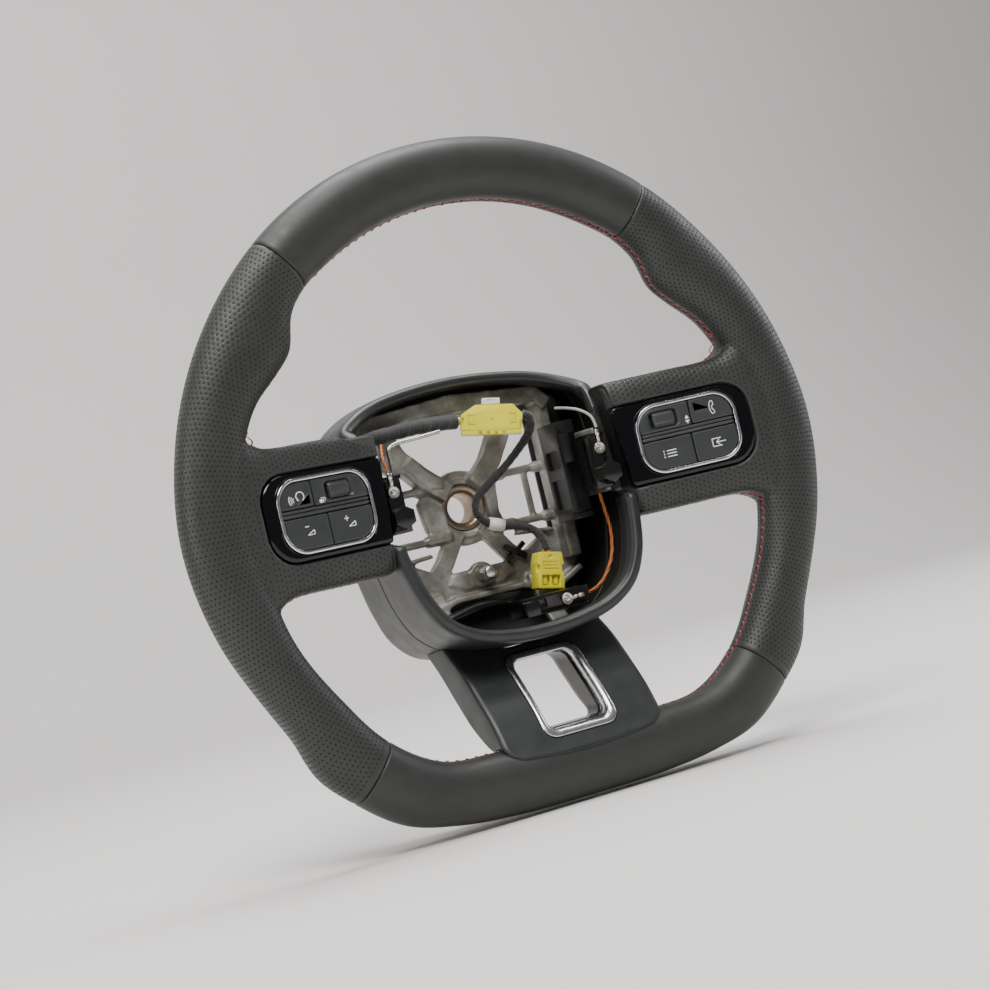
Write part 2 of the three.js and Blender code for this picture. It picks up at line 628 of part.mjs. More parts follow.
function ringTerminal(at, tilt) {
  const ring = less(rod([0, -1, 0], [0, 0, 0], 3.2, 12), rod([0, -2, 0], [0, 1, 0], 1.3, 8));
  const crimp = box([-1.4, 1.4], [-1.8, 0], [2.4, 10]);
  const geometry = geometryOf(joined(ring, crimp));
  geometry.rotateY(tilt);
  geometry.translate(...at);
  return solidOf(geometry);
}

// A solid drawn round its own centre, tilted, turned towards the driver's left and put in place.
function placed(solid, at, tilt, turn) {
  const geometry = geometryOf(solid);
  geometry.rotateY(THREE.MathUtils.degToRad(tilt));
  geometry.rotateZ(THREE.MathUtils.degToRad(-turn));
  geometry.translate(...at);
  return solidOf(geometry);
}

function makeConnector(size, at, tilt, turn) {
  const [w, d, h] = size.map((s) => s / 2);
  const shell = prismY(roundedOutline([[-w, -h, 1], [w, -h, 1], [w, h * 0.35, 1], [w * 0.75, h, 1],
    [-w * 0.75, h, 1], [-w, h * 0.35, 1]]), [-d, d]);
  return placed(shell, at, tilt, turn);
}

const UPPER_CONNECTOR = [15.2, 45, 36];
const UPPER_TILT = 11;
const UPPER_TURN = 20;
const LOWER_CONNECTOR = [30.3, 52, -50.5];
const LOWER_TILT = 12;
const LEAD_ROUTE = [[31.5, 39, 35.2], [34, 38.7, 34], [35.6, 40.5, 30.5], [35.2, 44.3, 25.5],
  [31.6, 49, 20], [20.4, 54, 9.9], [10.1, 58, 2.6], [2.8, 60, -3.4], [0.7, 60, -10.3],
  [5.5, 60, -17.1], [15.3, 59.5, -20.8], [29.1, 57, -26], [32.8, 54, -33], [32.9, 52.5, -39]];
const SLEEVE_ROUTE = [[-59.5, 46, 38.5], [-49.7, 45.5, 39], [-31, 46.5, 40.2], [-14, 49, 40],
  [-3.4, 51, 39.4]];
const SPRING_ROUTE = [[-50.5, 38, 6], [-50.5, 38, 26], [-50, 38, 31], [-46, 38, 33], [-32, 38, 34],
  [-19, 38, 35]];
const LEFT_WIRE = [[-62, 16.5, 18.6], [-62.2, 18, 24], [-58.5, 26, 30.5], [-55, 34, 33.6],
  [-53, 41, 33]];
const RIGHT_WIRE = [[61.6, 16.5, 18.6], [61.2, 19, 25], [58.5, 25, 30], [55.5, 33, 33], [53, 42, 35]];
const LOOM_ROUTE = [[61, 30, -15.6], [62.5, 31, -26], [63.6, 32, -36], [60, 31, -50], [52, 30, -61],
  [45, 29.6, -65.4], [39.5, 29.5, -66.8]];

function makeHarnessLabel() {
  const centre = new THREE.Vector3(10.4, 59.9, -19.3);
  const along = new THREE.Vector3(10, -0.6, -3.6).normalize();
  const from = centre.clone().addScaledVector(along, -4.5);
  const to = centre.clone().addScaledVector(along, 4.5);
  return less(rod(from.toArray(), to.toArray(), 3.6, 8), harnessLead(0.3));
}

function harnessLead(grow) {
  return tube(LEAD_ROUTE, 2.4 + grow, 8, 26);
}

function makeCrossClip() {
  const strip = () => new THREE.BoxGeometry(14, 2.5, 2.6);
  const arms = [0.6, -0.6].map((angle) => {
    const geometry = strip();
    geometry.rotateY(angle);
    geometry.translate(22.5, 69.3, -36);
    return solidOf(geometry);
  });
  return joined(...arms);
}

// ---------------------------------------------------------------- assembly
const wheel = new THREE.Group();
wheel.position.set(0, RIM_PLANE_Y, RIM_CENTRE_Z);

function add(name, solid, material) {
  const mesh = new THREE.Mesh(geometryOf(solid), material);
  mesh.name = name;
  wheel.add(mesh);
}

const SIDES = [[-1, 'left'], [1, 'right']];
const padRooms = SIDES.map(([side]) => padRoom(side, 0.4, PAD_DEPTH + 0.6));
const armRoom = reachingArms(0.4);
const hubRoom = hubBody(-0.4);

// rim: casting core, foam, four sewn leather panels
add('armature', makeArmature(), LOOKS.casting);
add('spline_insert', makeSplineInsert(), LOOKS.steel);
add('locating_stud', joined(rod([0, 57, STUD_Z], [0, 70.5, STUD_Z], 3.8, 16),
  rod([0, 70, STUD_Z], [0, 77, STUD_Z], 3, 16)), LOOKS.steel);
const foamInset = LEATHER + GAP;
add('rim_foam', less(joined(rimLoop(foamInset), ...SIDES.map(([side]) => spokeBody(side, foamInset))),
  armRoom, hubRoom, ...padRooms), LOOKS.foam);
add('leather_top', less(rimSpan(TOP_SPAN, 0, -SEAM_HALF), rimSpan(TOP_SPAN, LEATHER, OVERRUN)),
  LOOKS.leather);
add('leather_bottom', less(rimSpan(BOTTOM_SPAN, 0, -SEAM_HALF), rimSpan(BOTTOM_SPAN, LEATHER, OVERRUN),
  lowerArm(-1, 0.4), lowerArm(1, 0.4)), LOOKS.leather);
for (const [side, name] of SIDES) {
  const span = side > 0 ? GRIP_SPAN : LEFT_GRIP_SPAN;
  const outside = joined(rimSpan(span, 0, -SEAM_HALF), spokeBody(side, 0));
  const inside = joined(rimSpan(span, LEATHER, OVERRUN), spokeBody(side, LEATHER),
    box([side * 50, side * 58].sort((a, b) => a - b), [11, 35], [-30, 39]));
  const grip = less(outside, inside, hubRoom, armRoom, padRoom(side, 0.4, 12));
  add(`leather_grip_${name}`, grip, LOOKS.leather);
}

// hub shells and lower spoke
const contactRooms = SIDES.map(([side]) => contactRoom(side));
add('hub_bezel', makeHubBezel([...padRooms, ...contactRooms, armRoom]), LOOKS.satin);
add('rear_cover', makeRearCover([...padRooms, armRoom]), LOOKS.satin);
COVER_SCREWS.forEach((place, i) => add(`cover_screw_${i + 1}`, makeCoverScrew(place), LOOKS.steel));
add('lower_spoke_cover', makeLowerSpokeCover(), LOOKS.satin);
add('lower_spoke_back', makeLowerSpokeBack(), LOOKS.black);
add('lower_spoke_trim_ring', makeLowerTrimRing(), LOOKS.chrome);

// switch pads
const KEYS = {
  left: [['voice_key', [-FAR, UPPER_SPLIT_X.left - SPLIT], UPPER_ROW],
    ['volume_down_key', [-FAR, LOWER_SPLIT_X.left - SPLIT], LOWER_ROW],
    ['volume_up_key', [LOWER_SPLIT_X.left + SPLIT, FAR], LOWER_ROW]],
  right: [['phone_key', [UPPER_SPLIT_X.right + SPLIT, FAR], UPPER_ROW],
    ['menu_key', [-FAR, LOWER_SPLIT_X.right - SPLIT], LOWER_ROW],
    ['source_key', [LOWER_SPLIT_X.right + SPLIT, FAR], LOWER_ROW]],
};
for (const [side, name] of SIDES) {
  add(`switch_bezel_${name}`, inPad(side, makeSwitchBezel(side)), LOOKS.gloss);
  add(`switch_ring_${name}`, inPad(side, makeSwitchRing()), LOOKS.chrome);
  add(`switch_housing_${name}`, inPad(side, makeSwitchHousing(side, name)), LOOKS.black);
  add(`roller_panel_${name}`, inPad(side, makeRollerPanel(side, name)), LOOKS.key);
  add(`roller_${name}`, inPad(side, makeRoller(ROLLER_X[name])), LOOKS.key);
  for (const [key, x, z] of KEYS[name]) add(key, inPad(side, keyBlock(x, z)), LOOKS.key);
}

// airbag contacts, wiring and clips in the pocket
for (const [side, name] of SIDES) {
  add(`horn_contact_${name}`, makeSideContact(side), LOOKS.black);
  const eyelet = ringTerminal([side * CONTACT_X, CONTACT_Y - GAP, 7.5], side * 0.05);
  add(`ring_terminal_${name}`, eyelet, LOOKS.steel);
}
add('horn_contact_bottom', joined(box([-2, 38], [24, 42], [-72, -62]), box([-2, 6], [20, 25], [-72, -64])),
  LOOKS.black);
add('ring_terminal_bottom', ringTerminal([24, 24 - GAP, -67], Math.PI / 2), LOOKS.steel);
add('airbag_spring_wire', tube(SPRING_ROUTE, 1, 6, 14), LOOKS.steel);
add('upper_connector', makeConnector([33, 10, 16], UPPER_CONNECTOR, UPPER_TILT, UPPER_TURN), LOOKS.yellow);
add('connector_lock', placed(box([-4.75, 4.75], [-4.5, 4.5], [8.3, 11.6]), UPPER_CONNECTOR, UPPER_TILT,
  UPPER_TURN), LOOKS.white);
add('lower_connector', makeConnector([15.5, 10, 20], LOWER_CONNECTOR, LOWER_TILT, 0), LOOKS.yellow);
add('harness_sleeve', tube(SLEEVE_ROUTE, 4.2, 10, 9), LOOKS.cloth);
add('harness_lead', harnessLead(0), LOOKS.cloth);
add('harness_label', makeHarnessLabel(), LOOKS.white);
const guideBox = joined(box([46, 57], [34, 56], [-27, 27]), box([46.5, 50.8], [30, 35], [4, 20]));
add('wire_guide_box', guideBox, LOOKS.black);
add('cross_clip', makeCrossClip(), LOOKS.black);
add('wire_left', tube(LEFT_WIRE, 0.8, 6, 9), LOOKS.orange);
add('wire_right', tube(RIGHT_WIRE, 0.8, 6, 9), LOOKS.orange);
add('wire_bottom', tube(LOOM_ROUTE, 1, 6, 10), LOOKS.orange);

export default wheel;
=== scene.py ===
# Looks of the steering wheel: sewn leather, moulded covers, switch pads, casting and wiring.
# Shapes are worked out in millimetres in the rim's own frame, whose origin is the centre of
# the rim's arc in the rim's mid-plane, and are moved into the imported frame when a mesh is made.
import json
import math

import bmesh
import bpy
import numpy as np
from mathutils import Matrix, Vector
from mathutils.bvhtree import BVHTree
from mathutils.kdtree import KDTree


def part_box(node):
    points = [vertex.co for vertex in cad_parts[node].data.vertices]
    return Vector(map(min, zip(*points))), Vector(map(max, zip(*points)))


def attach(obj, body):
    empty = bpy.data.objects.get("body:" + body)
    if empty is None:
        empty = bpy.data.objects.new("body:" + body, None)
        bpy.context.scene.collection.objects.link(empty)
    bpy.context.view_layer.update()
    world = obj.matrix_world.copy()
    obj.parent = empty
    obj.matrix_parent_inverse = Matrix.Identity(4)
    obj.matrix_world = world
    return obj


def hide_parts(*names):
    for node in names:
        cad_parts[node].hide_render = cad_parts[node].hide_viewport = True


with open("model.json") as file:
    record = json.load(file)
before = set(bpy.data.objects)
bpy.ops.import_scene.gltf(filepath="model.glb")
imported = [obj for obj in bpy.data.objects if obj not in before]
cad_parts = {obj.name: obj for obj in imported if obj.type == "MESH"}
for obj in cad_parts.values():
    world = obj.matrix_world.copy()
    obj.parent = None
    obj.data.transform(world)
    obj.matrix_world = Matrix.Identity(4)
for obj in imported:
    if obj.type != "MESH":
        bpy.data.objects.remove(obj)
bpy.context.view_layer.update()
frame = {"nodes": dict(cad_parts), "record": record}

MM = 0.001
SIDES = {"left": -1, "right": 1}

# ------------------------------------------------------------------ driving dimensions
RIM_RADIUS = 181.0
RIM_HALF_DEPTH = 15.0
RIM_ROUNDNESS = 2.3
TOP_SEAM = 38.0
BOTTOM_SEAM = 138.0
RIM_OUTER = [(0, 181), (30, 180.6), (50, 179.3), (75, 179.6), (90, 180.8), (105, 179.6), (118, 178.4),
             (124, 179.8), (131, 186.4), (138, 186.8), (147, 186), (155, 179.5), (165, 171.8), (180, 166.7)]
RIM_INNER = [(0, 147.5), (18, 147.2), (32, 146.6), (38, 146.6), (44, 144), (51, 135.8), (57, 137.5),
             (64, 143), (72, 146), (82, 146), (100, 145.5), (112, 148), (126, 149), (138, 152),
             (150, 150), (160, 141), (170, 135), (180, 133)]
# Spoke sections: distance from centre, bottom, top, front and back.
SPOKES = [(66, -33.2, 41, 7, 36), (78, -33.5, 41, 4, 34), (105, -33.5, 41, -2, 25),
          (126, -33.5, 41, -7.5, 19.5), (134, -34.5, 42.5, -9.5, 18), (142, -39, 49, -11.5, 16),
          (152, -52, 62, -12.5, 13)]
SPOKE_ROUNDNESS = 5.0

HUB_FRONT = [(0, 63), (25, 61.5), (48, 57), (61, 49.5), (66.5, 40), (68, 28), (70, 4), (72, -20),
             (69.6, -37), (64.8, -53), (56.2, -67), (41, -77), (20, -82), (0, -83.3)]
HUB_SHOULDER = [(0, 64.5), (25, 63), (48, 59), (64, 52.5), (74.5, 44.5), (75.5, 30), (74, 4),
                (72.3, -20), (69.6, -37), (65.3, -53), (57.2, -68), (44, -78), (22, -83.5), (0, -84.5)]
HUB_REAR = [(0, 65), (25, 63.5), (48, 59), (64, 52), (73, 44), (74, 30), (72.5, 4), (70.5, -20),
            (68.5, -36), (65, -52), (58.5, -69), (46, -81), (23, -85.5), (0, -86.5)]
HUB_SWEEP = [(-95, 3), (-66, 1.5), (-50, 2.5), (-36, 4.5), (-20, 6.5), (0, 10), (15, 15),
             (28, 22), (38.5, 30), (49, 40), (56.5, 47), (66, 54), (72, 58)]
HUB_BACK_Y = 80.0
# Where the bezel meets the rear cover, seen from the side: height and depth.
HUB_SPLIT = [(-95, 43), (-30, 43), (0, 46), (30, 52), (50, 64), (60, 74), (72, 76)]

PAD_CENTRE = np.array([105.25, -3.3, 4.5])
PAD_TURN = math.radians(14.4)
ROLLER_X = {"left": 9.5, "right": -12.0}
ROLLER_Z = 10.0
ROLLER_DEPTH = 5.4
ROLLER_RADIUS = 6.5
ROLLER_WIDTH = 12.4
UPPER_SPLIT = {"left": -6.5, "right": 3.0}
LOWER_SPLIT = {"left": -0.3, "right": 1.1}
KEY_FRONT = 0.4
KEY_BACK = 5.0

INSERT_RADIUS = 12.6
ROD_ZS = (7.5, -20.5)
LOWER_HALF_WIDTH = 46.0
# Face and back of the lower spoke seen from the side: depth and height.
LOWER_FACE = [(44, -72), (34, -81), (22, -91), (8.6, -106), (-2.5, -120), (-11.5, -136), (-15.2, -142.5)]
LOWER_BACK = [(70, -72), (50, -91), (37, -106), (24, -120), (10, -130), (-5, -138)]
FRAME_HALF = 21.6
FRAME_LOW, FRAME_HIGH = -133.0, -88.0

low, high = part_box("leather_top")
RIM_CENTRE = np.array([0, (low.y + high.y) / 2 / MM, high.z / MM - RIM_RADIUS])


# ------------------------------------------------------------------ camera, floor and light
def make_camera():
    """The view from the left of the wheel, level with it and rolled."""
    right = Vector((0.8862, -0.4004, -0.2332))
    up = Vector((0.1982, -0.1272, 0.9719))
    back = right.cross(up)
    turn = Matrix((right, up, back)).transposed()
    data = bpy.data.cameras.new("camera")
    data.sensor_width = 36
    data.lens = 36 * 2000 / 990
    data.clip_start = 0.01
    camera = bpy.data.objects.new("camera", data)
    place = (np.array([-444.0, -932.2, -40.0]) + RIM_CENTRE) * MM
    camera.matrix_world = Matrix.Translation(place) @ turn.to_4x4()
    bpy.context.scene.collection.objects.link(camera)
    bpy.context.scene.camera = camera


def area_light(name, place, target, size, power, colour=(1, 1, 1)):
    data = bpy.data.lights.new(name, "AREA")
    data.shape = "RECTANGLE"
    data.size, data.size_y = size
    data.energy = power
    data.color = colour
    light = bpy.data.objects.new(name, data)
    light.location = place
    light.rotation_euler = (Vector(target) - Vector(place)).to_track_quat("-Z", "Y").to_euler()
    bpy.context.scene.collection.objects.link(light)


def make_stage():
    floor_z = min(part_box("leather_bottom")[0].z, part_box("leather_grip_left")[0].z) - 0.0012
    depth, half, radius = 1.9, 3.2, 0.7
    profile = [(-2.6, floor_z), (depth - radius, floor_z)]
    for i in range(1, 17):
        angle = math.pi / 2 * i / 16
        profile.append((depth - radius + radius * math.sin(angle), floor_z + radius * (1 - math.cos(angle))))
    profile.append((depth, floor_z + 3.2))
    verts = [(x, y, z) for x in (-half, half) for y, z in profile]
    count = len(profile)
    faces = [(i, i + 1, count + i + 1, count + i) for i in range(count - 1)]
    mesh = bpy.data.meshes.new("floor")
    mesh.from_pydata(verts, [], faces)
    mesh.polygons.foreach_set("use_smooth", [True] * len(faces))
    floor = bpy.data.objects.new("floor", mesh)
    bpy.context.scene.collection.objects.link(floor)
    paint = bpy.data.materials.new("floor")
    paint.use_nodes = True
    shader = paint.node_tree.nodes["Principled BSDF"]
    shader.inputs["Base Color"].default_value = (0.62, 0.6, 0.59, 1)
    shader.inputs["Roughness"].default_value = 0.85
    mesh.materials.append(paint)


def make_lights():
    centre = (0, -0.09, 0)
    area_light("key_light", (-0.5, -1.05, 1.5), centre, (1.0, 0.7), 40, (1, 0.985, 0.96))
    area_light("top_light", (0.3, 0.1, 1.7), centre, (1.2, 0.8), 30)
    area_light("right_light", (1.75, -0.15, 0.7), centre, (0.5, 1.0), 16, (0.96, 0.98, 1))
    area_light("left_light", (-1.7, -0.35, 0.5), centre, (0.5, 1.0), 12)
    area_light("backdrop_light", (0.0, 0.2, 2.4), (0.3, 1.7, 0.2), (2.6, 0.8), 40)
    world = bpy.data.worlds.new("world")
    world.use_nodes = True
    sky = world.node_tree.nodes["Background"]
    sky.inputs["Color"].default_value = (0.82, 0.84, 0.86, 1)
    sky.inputs["Strength"].default_value = 0.2
    bpy.context.scene.world = world


# ------------------------------------------------------------------ materials
class Paint:
    """A material whose colour, roughness and bump come from small node chains."""

    def __init__(self, name, roughness, metallic=0.0, **sockets):
        self.material = bpy.data.materials.new(name)
        self.material.use_nodes = True
        self.tree = self.material.node_tree
        self.shader = self.tree.nodes["Principled BSDF"]
        self.shader.inputs["Roughness"].default_value = roughness
        self.shader.inputs["Metallic"].default_value = metallic
        for socket, value in sockets.items():
            self.shader.inputs[socket.replace("_", " ")].default_value = value
        self.place = self.add("ShaderNodeTexCoord").outputs["Object"]
        self.normal = None

    def add(self, kind, **values):
        node = self.tree.nodes.new(kind)
        for key, value in values.items():
            if hasattr(node, key):
                setattr(node, key, value)
            else:
                node.inputs[key.replace("_", " ")].default_value = value
        return node

    def link(self, start, end):
        self.tree.links.new(start, end)

    def noise(self, scale, detail=2.0, roughness=0.5, stretch=None):
        node = self.add("ShaderNodeTexNoise", Scale=scale, Detail=detail, Roughness=roughness)
        self.link(self.stretched(stretch), node.inputs["Vector"])
        return node.outputs["Fac"]

    def cells(self, scale, feature="DISTANCE_TO_EDGE", stretch=None):
        node = self.add("ShaderNodeTexVoronoi", feature=feature, Scale=scale)
        self.link(self.stretched(stretch), node.inputs["Vector"])
        return node.outputs["Distance"]

    def stretched(self, stretch):
        if stretch is None:
            return self.place
        node = self.add("ShaderNodeMapping")
        node.inputs["Scale"].default_value = stretch
        self.link(self.place, node.inputs["Vector"])
        return node.outputs["Vector"]

    def ramp(self, value, *stops):
        node = self.add("ShaderNodeValToRGB")
        elements = node.color_ramp.elements
        while len(elements) < len(stops):
            elements.new(0.5)
        for element, (position, colour) in zip(elements, stops):
            element.position = position
            element.color = (*colour, 1) if len(colour) == 3 else (*colour * 3, 1)
        self.link(value, node.inputs["Fac"])
        return node.outputs["Color"]

    def remap(self, value, out_low, out_high, in_low=0.3, in_high=0.7):
        node = self.add("ShaderNodeMapRange", From_Min=in_low, From_Max=in_high, To_Min=out_low,
                        To_Max=out_high)
        self.link(value, node.inputs["Value"])
        return node.outputs["Result"]

    def colour(self, output):
        self.link(output, self.shader.inputs["Base Color"])
        return self

    def gloss(self, output):
        self.link(output, self.shader.inputs["Roughness"])
        return self

    def bump(self, height, strength, distance):
        node = self.add("ShaderNodeBump", Strength=strength, Distance=distance * MM)
        self.link(height, node.inputs["Height"])
        if self.normal is not None:
            self.link(self.normal, node.inputs["Normal"])
        self.normal = node.outputs["Normal"]
        self.link(self.normal, self.shader.inputs["Normal"])
        return self


def leather_paint(name, shade):
    paint = Paint(name, 0.5, Specular_IOR_Level=0.42, Sheen_Weight=0.05, Sheen_Roughness=0.5)
    blotch = paint.noise(28, 3)
    dark = tuple(0.88 * c for c in shade)
    light = tuple(1.12 * c for c in shade)
    paint.colour(paint.ramp(blotch, (0.3, dark), (0.7, light)))
    paint.gloss(paint.remap(paint.noise(160, 3), 0.43, 0.56))
    paint.bump(paint.cells(1150), 0.35, 0.12)
    paint.bump(paint.noise(2600, 2), 0.2, 0.05)
    paint.bump(paint.noise(120, 2), 0.12, 0.5)
    return paint.material


def plastic_paint(name, shade, roughness, grain=0.25, scale=2600, variation=0.1):
    paint = Paint(name, roughness)
    dark = tuple((1 - variation) * c for c in shade)
    light = tuple((1 + variation) * c for c in shade)
    paint.colour(paint.ramp(paint.noise(55, 3), (0.3, dark), (0.7, light)))
    paint.gloss(paint.remap(paint.noise(90, 4), roughness - 0.05, roughness + 0.06))
    if grain:
        paint.bump(paint.noise(scale, 3, 0.6), grain, 0.06)
    return paint.material


def gloss_paint():
    paint = Paint("gloss_black", 0.05, Specular_IOR_Level=0.4)
    specks = paint.noise(1900, 1)
    paint.colour(paint.ramp(specks, (0.78, (0.002, 0.002, 0.003)), (0.82, (0.03, 0.027, 0.024))))
    paint.gloss(paint.remap(paint.noise(70, 4), 0.03, 0.11))
    return paint.material


def metal_paint(name, shade, roughness, spread=0.05, bump=0.1, scale=700, metallic=1.0, stretch=None):
    paint = Paint(name, roughness, metallic)
    dark = tuple(0.8 * c for c in shade)
    paint.colour(paint.ramp(paint.noise(130, 4), (0.3, dark), (0.62, shade)))
    paint.gloss(paint.remap(paint.noise(240, 4, stretch=stretch), roughness - spread, roughness + spread))
    paint.bump(paint.noise(scale, 4, stretch=stretch), bump, 0.1)
    return paint.material


def casting_paint():
    paint = Paint("casting", 0.5, 0.55)
    stain = paint.noise(26, 6, 0.65)
    paint.colour(paint.ramp(stain, (0.34, (0.1, 0.092, 0.075)), (0.46, (0.2, 0.19, 0.165)),
                            (0.56, (0.34, 0.33, 0.3)), (0.68, (0.5, 0.5, 0.47))))
    paint.gloss(paint.remap(paint.noise(60, 4), 0.4, 0.62))
    paint.bump(paint.noise(420, 4, 0.6), 0.35, 0.35)
    paint.bump(paint.noise(60, 3), 0.3, 1.2)
    return paint.material


def cloth_paint():
    paint = Paint("cloth_tape", 0.85, Sheen_Weight=0.3)
    weave = paint.add("ShaderNodeTexWave", wave_type="BANDS", bands_direction="DIAGONAL", Scale=620.0,
                      Distortion=3.0)
    paint.link(paint.place, weave.inputs["Vector"])
    paint.colour(paint.ramp(weave.outputs["Fac"], (0.2, (0.006, 0.006, 0.006)), (0.8, (0.03, 0.03, 0.032))))
    paint.bump(weave.outputs["Fac"], 0.6, 0.3)
    paint.bump(paint.noise(300, 3), 0.5, 0.6)
    return paint.material


def thread_paint():
    paint = Paint("red_thread", 0.55, Sheen_Weight=0.3)
    twist = paint.add("ShaderNodeTexWave", wave_type="BANDS", bands_direction="DIAGONAL", Scale=900.0,
                      Distortion=1.0)
    paint.link(paint.place, twist.inputs["Vector"])
    paint.colour(paint.ramp(twist.outputs["Fac"], (0.1, (0.25, 0.008, 0.012)), (0.9, (0.55, 0.03, 0.04))))
    paint.bump(twist.outputs["Fac"], 0.5, 0.15)
    return paint.material


PAINTS = {
    "leather": leather_paint("leather", (0.021, 0.023, 0.021)),
    "leather_perforated": leather_paint("leather_perforated", (0.022, 0.024, 0.022)),
    # hole: near-black painted shade for the bottom of each perforation
    "hole": plastic_paint("hole", (0.004, 0.004, 0.004), 0.9, grain=0),
    "thread": thread_paint(),
    "foam": plastic_paint("foam", (0.03, 0.03, 0.028), 0.9, 0.5, 900),
    "satin_plastic": plastic_paint("satin_plastic", (0.016, 0.019, 0.018), 0.42, 0.3, 2300),
    # pocket_shade_black: the satin plastic darkened about four times, painted shade for faces deep in the hub
    # pocket and the grips' ends inside it
    "pocket_shade_black": plastic_paint("pocket_shade_black", (0.004, 0.004, 0.004), 0.5, 0.2, 1500),
    # pocket_gloss: painted shade, a black far darker than the satin plastic, for the rib under the casting
    "pocket_gloss": plastic_paint("pocket_gloss", (0.004, 0.004, 0.004), 0.2, 0.1, 900),
    "black_plastic": plastic_paint("black_plastic", (0.005, 0.005, 0.005), 0.36, 0.2, 1500),
    "gloss_black": gloss_paint(),
    "chrome_trim": metal_paint("chrome_trim", (0.78, 0.78, 0.8), 0.16, 0.04, 0.03, 1500),
    "key_plastic": plastic_paint("key_plastic", (0.026, 0.029, 0.029), 0.42, 0.2, 3000),
    "icon_white": plastic_paint("icon_white", (0.75, 0.76, 0.76), 0.5, 0.05, 3000, 0.04),
    "casting": casting_paint(),
    "steel": metal_paint("steel", (0.62, 0.61, 0.58), 0.3, 0.08, 0.15, 900),
    "connector_yellow": plastic_paint("connector_yellow", (0.78, 0.7, 0.03), 0.35, 0.1, 1500, 0.07),
    "white_plastic": plastic_paint("white_plastic", (0.75, 0.75, 0.72), 0.45, 0.1, 1500, 0.06),
    "cloth_tape": cloth_paint(),
    "wire_orange": plastic_paint("wire_orange", (0.42, 0.12, 0.02), 0.4, 0.1, 1500, 0.1),
    "wire_yellow": plastic_paint("wire_yellow", (0.55, 0.5, 0.06), 0.4, 0.1, 1500, 0.1),
    "wire_grey": plastic_paint("wire_grey", (0.3, 0.3, 0.28), 0.35, 0.1, 1500, 0.1),
    "contact_black": plastic_paint("contact_black", (0.008, 0.008, 0.008), 0.16, 0.06, 900),
    "gloss_trim": plastic_paint("gloss_trim", (0.008, 0.008, 0.008), 0.18, 0.05, 900),
    "chrome_satin": metal_paint("chrome_satin", (0.72, 0.72, 0.71), 0.24, 0.04, 0.03, 1500),
    "eyelet_steel": metal_paint("eyelet_steel", (0.8, 0.78, 0.7), 0.28, 0.06, 0.1, 900),
    "spline_steel": metal_paint("spline_steel", (0.42, 0.33, 0.24), 0.35, 0.08, 0.15, 900),
}


# ------------------------------------------------------------------ mesh helpers
def to_row(points):
    return (np.asarray(points, float) + RIM_CENTRE) * MM


def new_object(name, mesh, paint):
    mesh.materials.clear()
    mesh.materials.append(PAINTS[paint])
    obj = bpy.data.objects.new(name, mesh)
    bpy.context.scene.collection.objects.link(obj)
    return obj


def build(name, points, faces, paint, smooth=True):
    """A mesh object from millimetre points, with its faces turned outwards."""
    mesh = bpy.data.meshes.new(name)
    mesh.from_pydata(to_row(points).tolist(), [], [tuple(int(i) for i in face) for face in faces])
    work = bmesh.new()
    work.from_mesh(mesh)
    bmesh.ops.remove_doubles(work, verts=work.verts, dist=0.002 * MM)
    bmesh.ops.recalc_face_normals(work, faces=work.faces)
    work.to_mesh(mesh)
    work.free()
    mesh.polygons.foreach_set("use_smooth", [smooth] * len(mesh.polygons))
    return new_object(name, mesh, paint)


def finish_piece(obj, slot, *nodes, body="wheel"):
    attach(obj, body)
    if nodes:
        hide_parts(*nodes)
    return obj


def modified(obj, *modifiers):
    """The object with these modifiers applied: (type, settings) pairs."""
    for kind, settings in modifiers:
        modifier = obj.modifiers.new(kind.lower(), kind)
        for key, value in settings.items():
            setattr(modifier, key, value)
    graph = bpy.context.evaluated_depsgraph_get()
    mesh = bpy.data.meshes.new_from_object(obj.evaluated_get(graph))
    old = obj.data
    obj.modifiers.clear()
    obj.data = mesh
    bpy.data.meshes.remove(old)
    return obj


def smooth_by_angle(obj, degrees=35):
    """Smooth shading that stays crisp over the sharper edges."""
    work = bmesh.new()
    work.from_mesh(obj.data)
    for edge in work.edges:
        edge.smooth = len(edge.link_faces) == 2 and edge.calc_face_angle(0) < math.radians(degrees)
    for face in work.faces:
        face.smooth = True
    work.to_mesh(obj.data)
    work.free()
    return obj


def bevelled(obj, width, segments=3, angle=30):
    return smooth_by_angle(modified(obj, ("BEVEL", {
        "width": width * MM, "segments": segments, "limit_method": "ANGLE",
        "angle_limit": math.radians(angle), "harden_normals": False})))


def cut(obj, cutter, operation="DIFFERENCE", tolerant=False):
    modified(obj, ("BOOLEAN", {"object": cutter, "operation": operation, "solver": "EXACT",
                               "use_hole_tolerant": tolerant}))
    bpy.data.objects.remove(cutter)
    return obj


def rings_mesh(rings, closed=False, caps=True):
    """Points and faces that skin rings of equal counts."""
    rings = [np.asarray(ring, float) for ring in rings]
    count = len(rings[0])
    points = np.concatenate(rings)
    faces = []
    spans = len(rings) if closed else len(rings) - 1
    for i in range(spans):
        a, b = i * count, ((i + 1) % len(rings)) * count
        for j in range(count):
            k = (j + 1) % count
            faces.append((a + j, a + k, b + k, b + j))
    if caps and not closed:
        faces.append(tuple(range(count))[::-1])
        faces.append(tuple(range((len(rings) - 1) * count, len(rings) * count)))
    return points, faces


def joined_parts(parts):
    """Several (points, faces) as one."""
    points, faces, start = [], [], 0
    for part_points, part_faces in parts:
        points.append(np.asarray(part_points, float))
        faces.extend(tuple(i + start for i in face) for face in part_faces)
        start += len(part_points)
    return np.concatenate(points), faces


